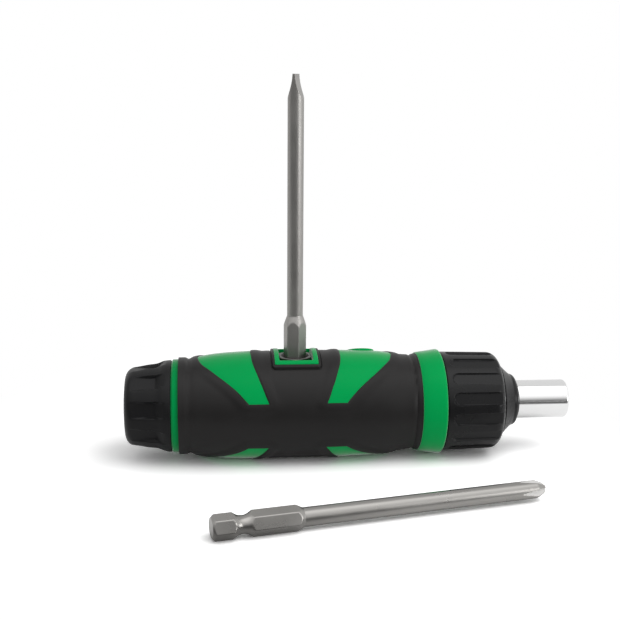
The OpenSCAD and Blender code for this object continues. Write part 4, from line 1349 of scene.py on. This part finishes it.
@dataclass
class Bits:
    """The upright flat-blade bit and the loose cross-tip bit."""

    axis: DriveAxis
    foot: float = 2.4
    clock_deg: float = -15.0
    lying_back: float = 26.9
    lying_side: float = 65.8
    lying_deg: float = 12.7
    lying_roll_deg: float = 12.0

    def build(self) -> None:
        """Builds and dresses both bits."""
        flat = Bit(Tip.FLAT, shaft_r=2.5, length=101.3, cone=3.3)
        stand = Matrix.Translation((0, 0, self.axis.height + self.foot))
        up = stand @ Matrix.Rotation(math.radians(self.clock_deg), 4, "Z")
        dress(flat.build("flat_blade_bit", up), "upright_bit", BIT_STEEL, "bit_steel", "slotted_bit")
        cross = Bit(Tip.CROSS, shaft_r=2.65, length=98.7, cone=2.0)
        # A twelfth of a turn lays the hexagon on a flat
        turn = FULL_TURN / 12 + math.radians(self.lying_roll_deg)
        a = circle(cross.columns)
        rest = float(np.max(hex_radius(cross.flat_half, a, cross.corner_share) * np.cos(a + turn)))
        lie = Matrix.Translation((-self.lying_back, -self.lying_side, rest))
        for angle, way in ((math.radians(self.lying_deg), "Z"), (QUARTER, "Y"), (turn, "Z")):
            lie = lie @ Matrix.Rotation(angle, 4, way)
        loose = cross.build("cross_tip_bit", lie)
        # The loose bit takes the steel painted darker, as painted shade
        dress(loose, "loose_bit", SHADED_BIT_STEEL, "bit_steel", "phillips_bit")
        cross.grind(loose, lie)


@dataclass
class CarriedNodes:
    """Nodes of the frame that keep their shape and get a finish."""

    nodes: tuple[tuple[Finish, tuple[str, ...]], ...] = (
        # Rear collar: the green painted darker, as painted shade
        (SHADED_GREEN_ABS, ("rear_collar",)),
        (GREEN_ABS, ("screw_cover",)),
        (SEAL_RUBBER, ("cap_seal",)),
        (NICKEL, ("t_socket_magnet", "chuck_magnet")),
        (CAST_ZINC, ("ratchet_housing",)),
        (BRONZE, ("spindle_bush", "thrust_washer")),
        (GROUND_STEEL, ("housing_screw", "thrust_ball", "spindle", "gear_key", "ratchet_gear")),
        (GROUND_STEEL, ("left_pawl", "right_pawl", "selector_cam")),
        (SPRING_STEEL, ("pawl_spring", "detent_spring", "bit_retaining_ring")),
    )

    def build(self) -> None:
        """Puts each finish on its node."""
        for finish, names in self.nodes:
            for name in names:
                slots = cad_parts[name].data.materials
                slots.clear()
                slots.append(finish.material())
                LOG.info("%s: %s", name, finish.name)


@dataclass(frozen=True)
class Softbox:
    """A rectangular soft light."""

    name: str
    spot: tuple[float, float, float]
    aim: tuple[float, float, float]
    size: tuple[float, float]
    watts: float
    mirrored: bool

    def build(self) -> None:
        """Adds the light, which glossy surfaces show only if it is mirrored."""
        data = bpy.data.lights.new(self.name, "AREA")
        data.shape = "RECTANGLE"
        data.size, data.size_y = self.size
        data.energy = self.watts
        light = placed(self.name, data)
        light.location = self.spot
        light.rotation_mode = "QUATERNION"
        light.rotation_quaternion = (Vector(self.aim) - Vector(self.spot)).to_track_quat("-Z", "Y")
        light.visible_glossy = self.mirrored


@dataclass
class Studio:
    """White floor, soft light, the room that glossy surfaces mirror, and the camera."""

    focal_px: float = 1078.81
    frame_px: float = 620.0
    sensor_mm: float = 36.0
    elevation_deg: float = 12.228
    yaw_deg: float = 5.135
    roll_deg: float = 0.41
    distance: float = 347.45
    aim_px: tuple[float, float] = (295.268, 403.475)
    clip: tuple[float, float] = (0.01, 50.0)
    floor_half: float = 4.0
    floor_drop: float = 0.02
    shade_reach: tuple[float, float] = (0.118, 0.16)
    shade_fade: tuple[float, float] = (0.6, 1.0)
    paper: float = 1.31
    mirror_front: tuple[float, float] = (-0.078, -0.055)
    # Floor in front that glows only in reflections, as painted reflection: its span across, and its glow
    # at both ends
    reflection_glow_span: tuple[float, float] = (0.35, 0.6)
    reflection_glow_strength: tuple[float, float] = (0.14, 1.3)
    fill: float = 0.62
    # How each wall joins the mirrored room: operation, direction, its two ends and the strength there
    room: tuple[tuple[str, str, float, float, float, float], ...] = (
        ("ADD", "Z", -0.05, 0.6, 0.12, 1.25),
        ("ADD", "Z", 0.6, 0.95, 0.0, 0.9),
        ("MULTIPLY", "Y", 0.02, 0.26, 1.0, 0.0),
        ("MAXIMUM", "Y", -0.05, 0.3, 0.0, 0.82),
        ("MAXIMUM", "X", 0.4, 0.8, 0.0, 1.1),
    )
    lights: tuple[Softbox, ...] = (
        Softbox("overhead_softbox", (0.27, -0.2, 0.58), (0, 0, 0), (0.6, 0.5), 2.6, False),
        Softbox("side_softbox", (0.6, -0.45, 0.15), (0, 0, 0.02), (0.3, 0.3), 0.9, True),
    )

    def camera(self, axis: DriveAxis) -> None:
        """Adds the camera at the photograph's place.

        Args:
            axis: The drive axis, which the camera's place was measured from.
        """
        yaw, tilt, roll = (math.radians(v) for v in (self.yaw_deg, self.elevation_deg, self.roll_deg))
        right = Vector((math.cos(yaw), -math.sin(yaw), 0))
        ahead = Vector((math.sin(yaw) * math.cos(tilt), math.cos(yaw) * math.cos(tilt), -math.sin(tilt)))
        up = Vector((math.sin(yaw) * math.sin(tilt), math.cos(yaw) * math.sin(tilt), math.cos(tilt)))
        half = self.frame_px / 2
        across = (self.aim_px[0] - half) * self.distance / self.focal_px
        above = -(self.aim_px[1] - half) * self.distance / self.focal_px
        spot = Vector((0, 0, axis.height)) - right * across - up * above - ahead * self.distance
        turned_right = right * math.cos(roll) + up * math.sin(roll)
        turned_up = up * math.cos(roll) - right * math.sin(roll)
        basis = Matrix((turned_right, turned_up, -ahead)).transposed().to_4x4()
        data = bpy.data.cameras.new("camera")
        data.sensor_width = self.sensor_mm
        data.lens = self.focal_px * self.sensor_mm / self.frame_px
        data.clip_start, data.clip_end = self.clip
        camera = placed("camera", data)
        camera.matrix_world = Matrix.Translation(spot * MM) @ basis
        bpy.context.scene.camera = camera

    def floor(self) -> None:
        """Adds the pale floor, which keeps the object's shadow and glows in glossy rays as painted
        reflection.
        """
        h = self.floor_half
        mesh = bpy.data.meshes.new("floor")
        mesh.from_pydata([(-h, -h, 0), (h, -h, 0), (h, h, 0), (-h, h, 0)], [], [(0, 1, 2, 3)])
        floor = placed("floor", mesh)
        floor.location.z = -self.floor_drop * MM
        paper = bpy.data.materials.new("paper_white_matt")
        tree = fresh_tree(paper)
        ray = add_node(tree, "ShaderNodeLightPath")
        place = add_node(tree, "ShaderNodeNewGeometry").outputs["Position"]
        bounce = add_node(tree, "ShaderNodeBsdfDiffuse", {"Color": linear("#f4f4f4")})
        sheet = add_node(tree, "ShaderNodeBsdfDiffuse", {"Color": (self.paper,) * 3 + (1.0,)})
        glow = add_node(tree, "ShaderNodeEmission", {"Color": linear("#ffffff"), "Strength": 1.0})
        # The camera sees the shadow near the object and plain white further off
        shrink = (1 / self.shade_reach[0], 1 / self.shade_reach[1], 0.0)
        spread = add_node(tree, "ShaderNodeVectorMath", {0: place, 1: shrink}, operation="MULTIPLY")
        away = add_node(tree, "ShaderNodeVectorMath", {0: spread.outputs[0]}, operation="LENGTH")
        axes = add_node(tree, "ShaderNodeSeparateXYZ", {0: place})
        ramps = (
            (away.outputs["Value"], *self.shade_fade, 0.0, 1.0),
            (axes.outputs["Y"], *self.mirror_front, 0.0, 1.0),
            (axes.outputs["X"], *self.reflection_glow_span, *self.reflection_glow_strength),
        )
        far, near, glow_level = [
            add_node(
                tree, "ShaderNodeMapRange", dict(zip(RANGE, ramp)), interpolation_type="SMOOTHSTEP"
            ).outputs["Result"]
            for ramp in ramps
        ]
        # In front of the object, glossy rays see the floor glow instead of its lit paper: dimly, and
        # brightly beyond its nose; these glows are painted reflections with no lamp there
        painted_reflection = add_node(tree, "ShaderNodeEmission", {"Color": linear("#ffffff"), "Strength": glow_level})
        shown = add_node(tree, "ShaderNodeMixShader", {0: far, 1: sheet.outputs[0], 2: glow.outputs[0]})
        sides = {0: near, 1: painted_reflection.outputs[0], 2: bounce.outputs[0]}
        mirrored = add_node(tree, "ShaderNodeMixShader", sides)
        mixed = bounce
        for kind, seen in (("Is Camera Ray", shown), ("Is Glossy Ray", mirrored)):
            sides = {0: ray.outputs[kind], 1: mixed.outputs[0], 2: seen.outputs[0]}
            mixed = add_node(tree, "ShaderNodeMixShader", sides)
        add_node(tree, "ShaderNodeOutputMaterial", {"Surface": mixed.outputs[0]})
        mesh.materials.append(paper)

    def world(self) -> None:
        """Sets a white surround for the camera, a soft fill, and the room that gloss mirrors."""
        world = bpy.data.worlds.new("studio")
        bpy.context.scene.world = world
        tree = fresh_tree(world)
        ray = add_node(tree, "ShaderNodeLightPath")
        way = add_node(tree, "ShaderNodeTexCoord")
        axes = add_node(tree, "ShaderNodeSeparateXYZ", {0: way.outputs["Generated"]})
        room: bpy.types.NodeSocket | float = 0.0
        for operation, side, *ends in self.room:
            inputs = dict(zip(RANGE, (axes.outputs[side], *ends)))
            wall = add_node(tree, "ShaderNodeMapRange", inputs, interpolation_type="SMOOTHSTEP")
            sides = {0: room, 1: wall.outputs["Result"]}
            room = add_node(tree, "ShaderNodeMath", sides, operation=operation).outputs[0]
        fill, mirrored, white = [
            add_node(tree, "ShaderNodeBackground", {"Color": linear("#ffffff"), "Strength": strength})
            for strength in (self.fill, room, 1.0)
        ]
        mixed = fill
        for kind, seen in (("Is Glossy Ray", mirrored), ("Is Camera Ray", white)):
            sides = {0: ray.outputs[kind], 1: mixed.outputs[0], 2: seen.outputs[0]}
            mixed = add_node(tree, "ShaderNodeMixShader", sides)
        add_node(tree, "ShaderNodeOutputWorld", {"Surface": mixed.outputs[0]})

    def build(self, axis: DriveAxis) -> None:
        """Sets up the whole studio."""
        bpy.context.scene.view_settings.view_transform = "Standard"
        self.camera(axis)
        self.floor()
        self.world()
        for light in self.lights:
            light.build()
        LOG.info("studio ready")


def main() -> None:
    """Builds every piece round the frame."""
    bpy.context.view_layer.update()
    axis = DriveAxis.from_frame()
    line = GripLine()
    hole = SocketFrame()
    Studio().build(axis)
    HandleBody(line, hole, axis).build()
    Grip(line, hole, axis).build()
    Cap(axis).build()
    Selector(axis).build()
    Nose(axis).build()
    Chuck(axis).build()
    SocketBush(axis).build()
    Bits(axis).build()
    CarriedNodes().build()
    bpy.context.view_layer.update()


if __name__ == "__main__":
    main()
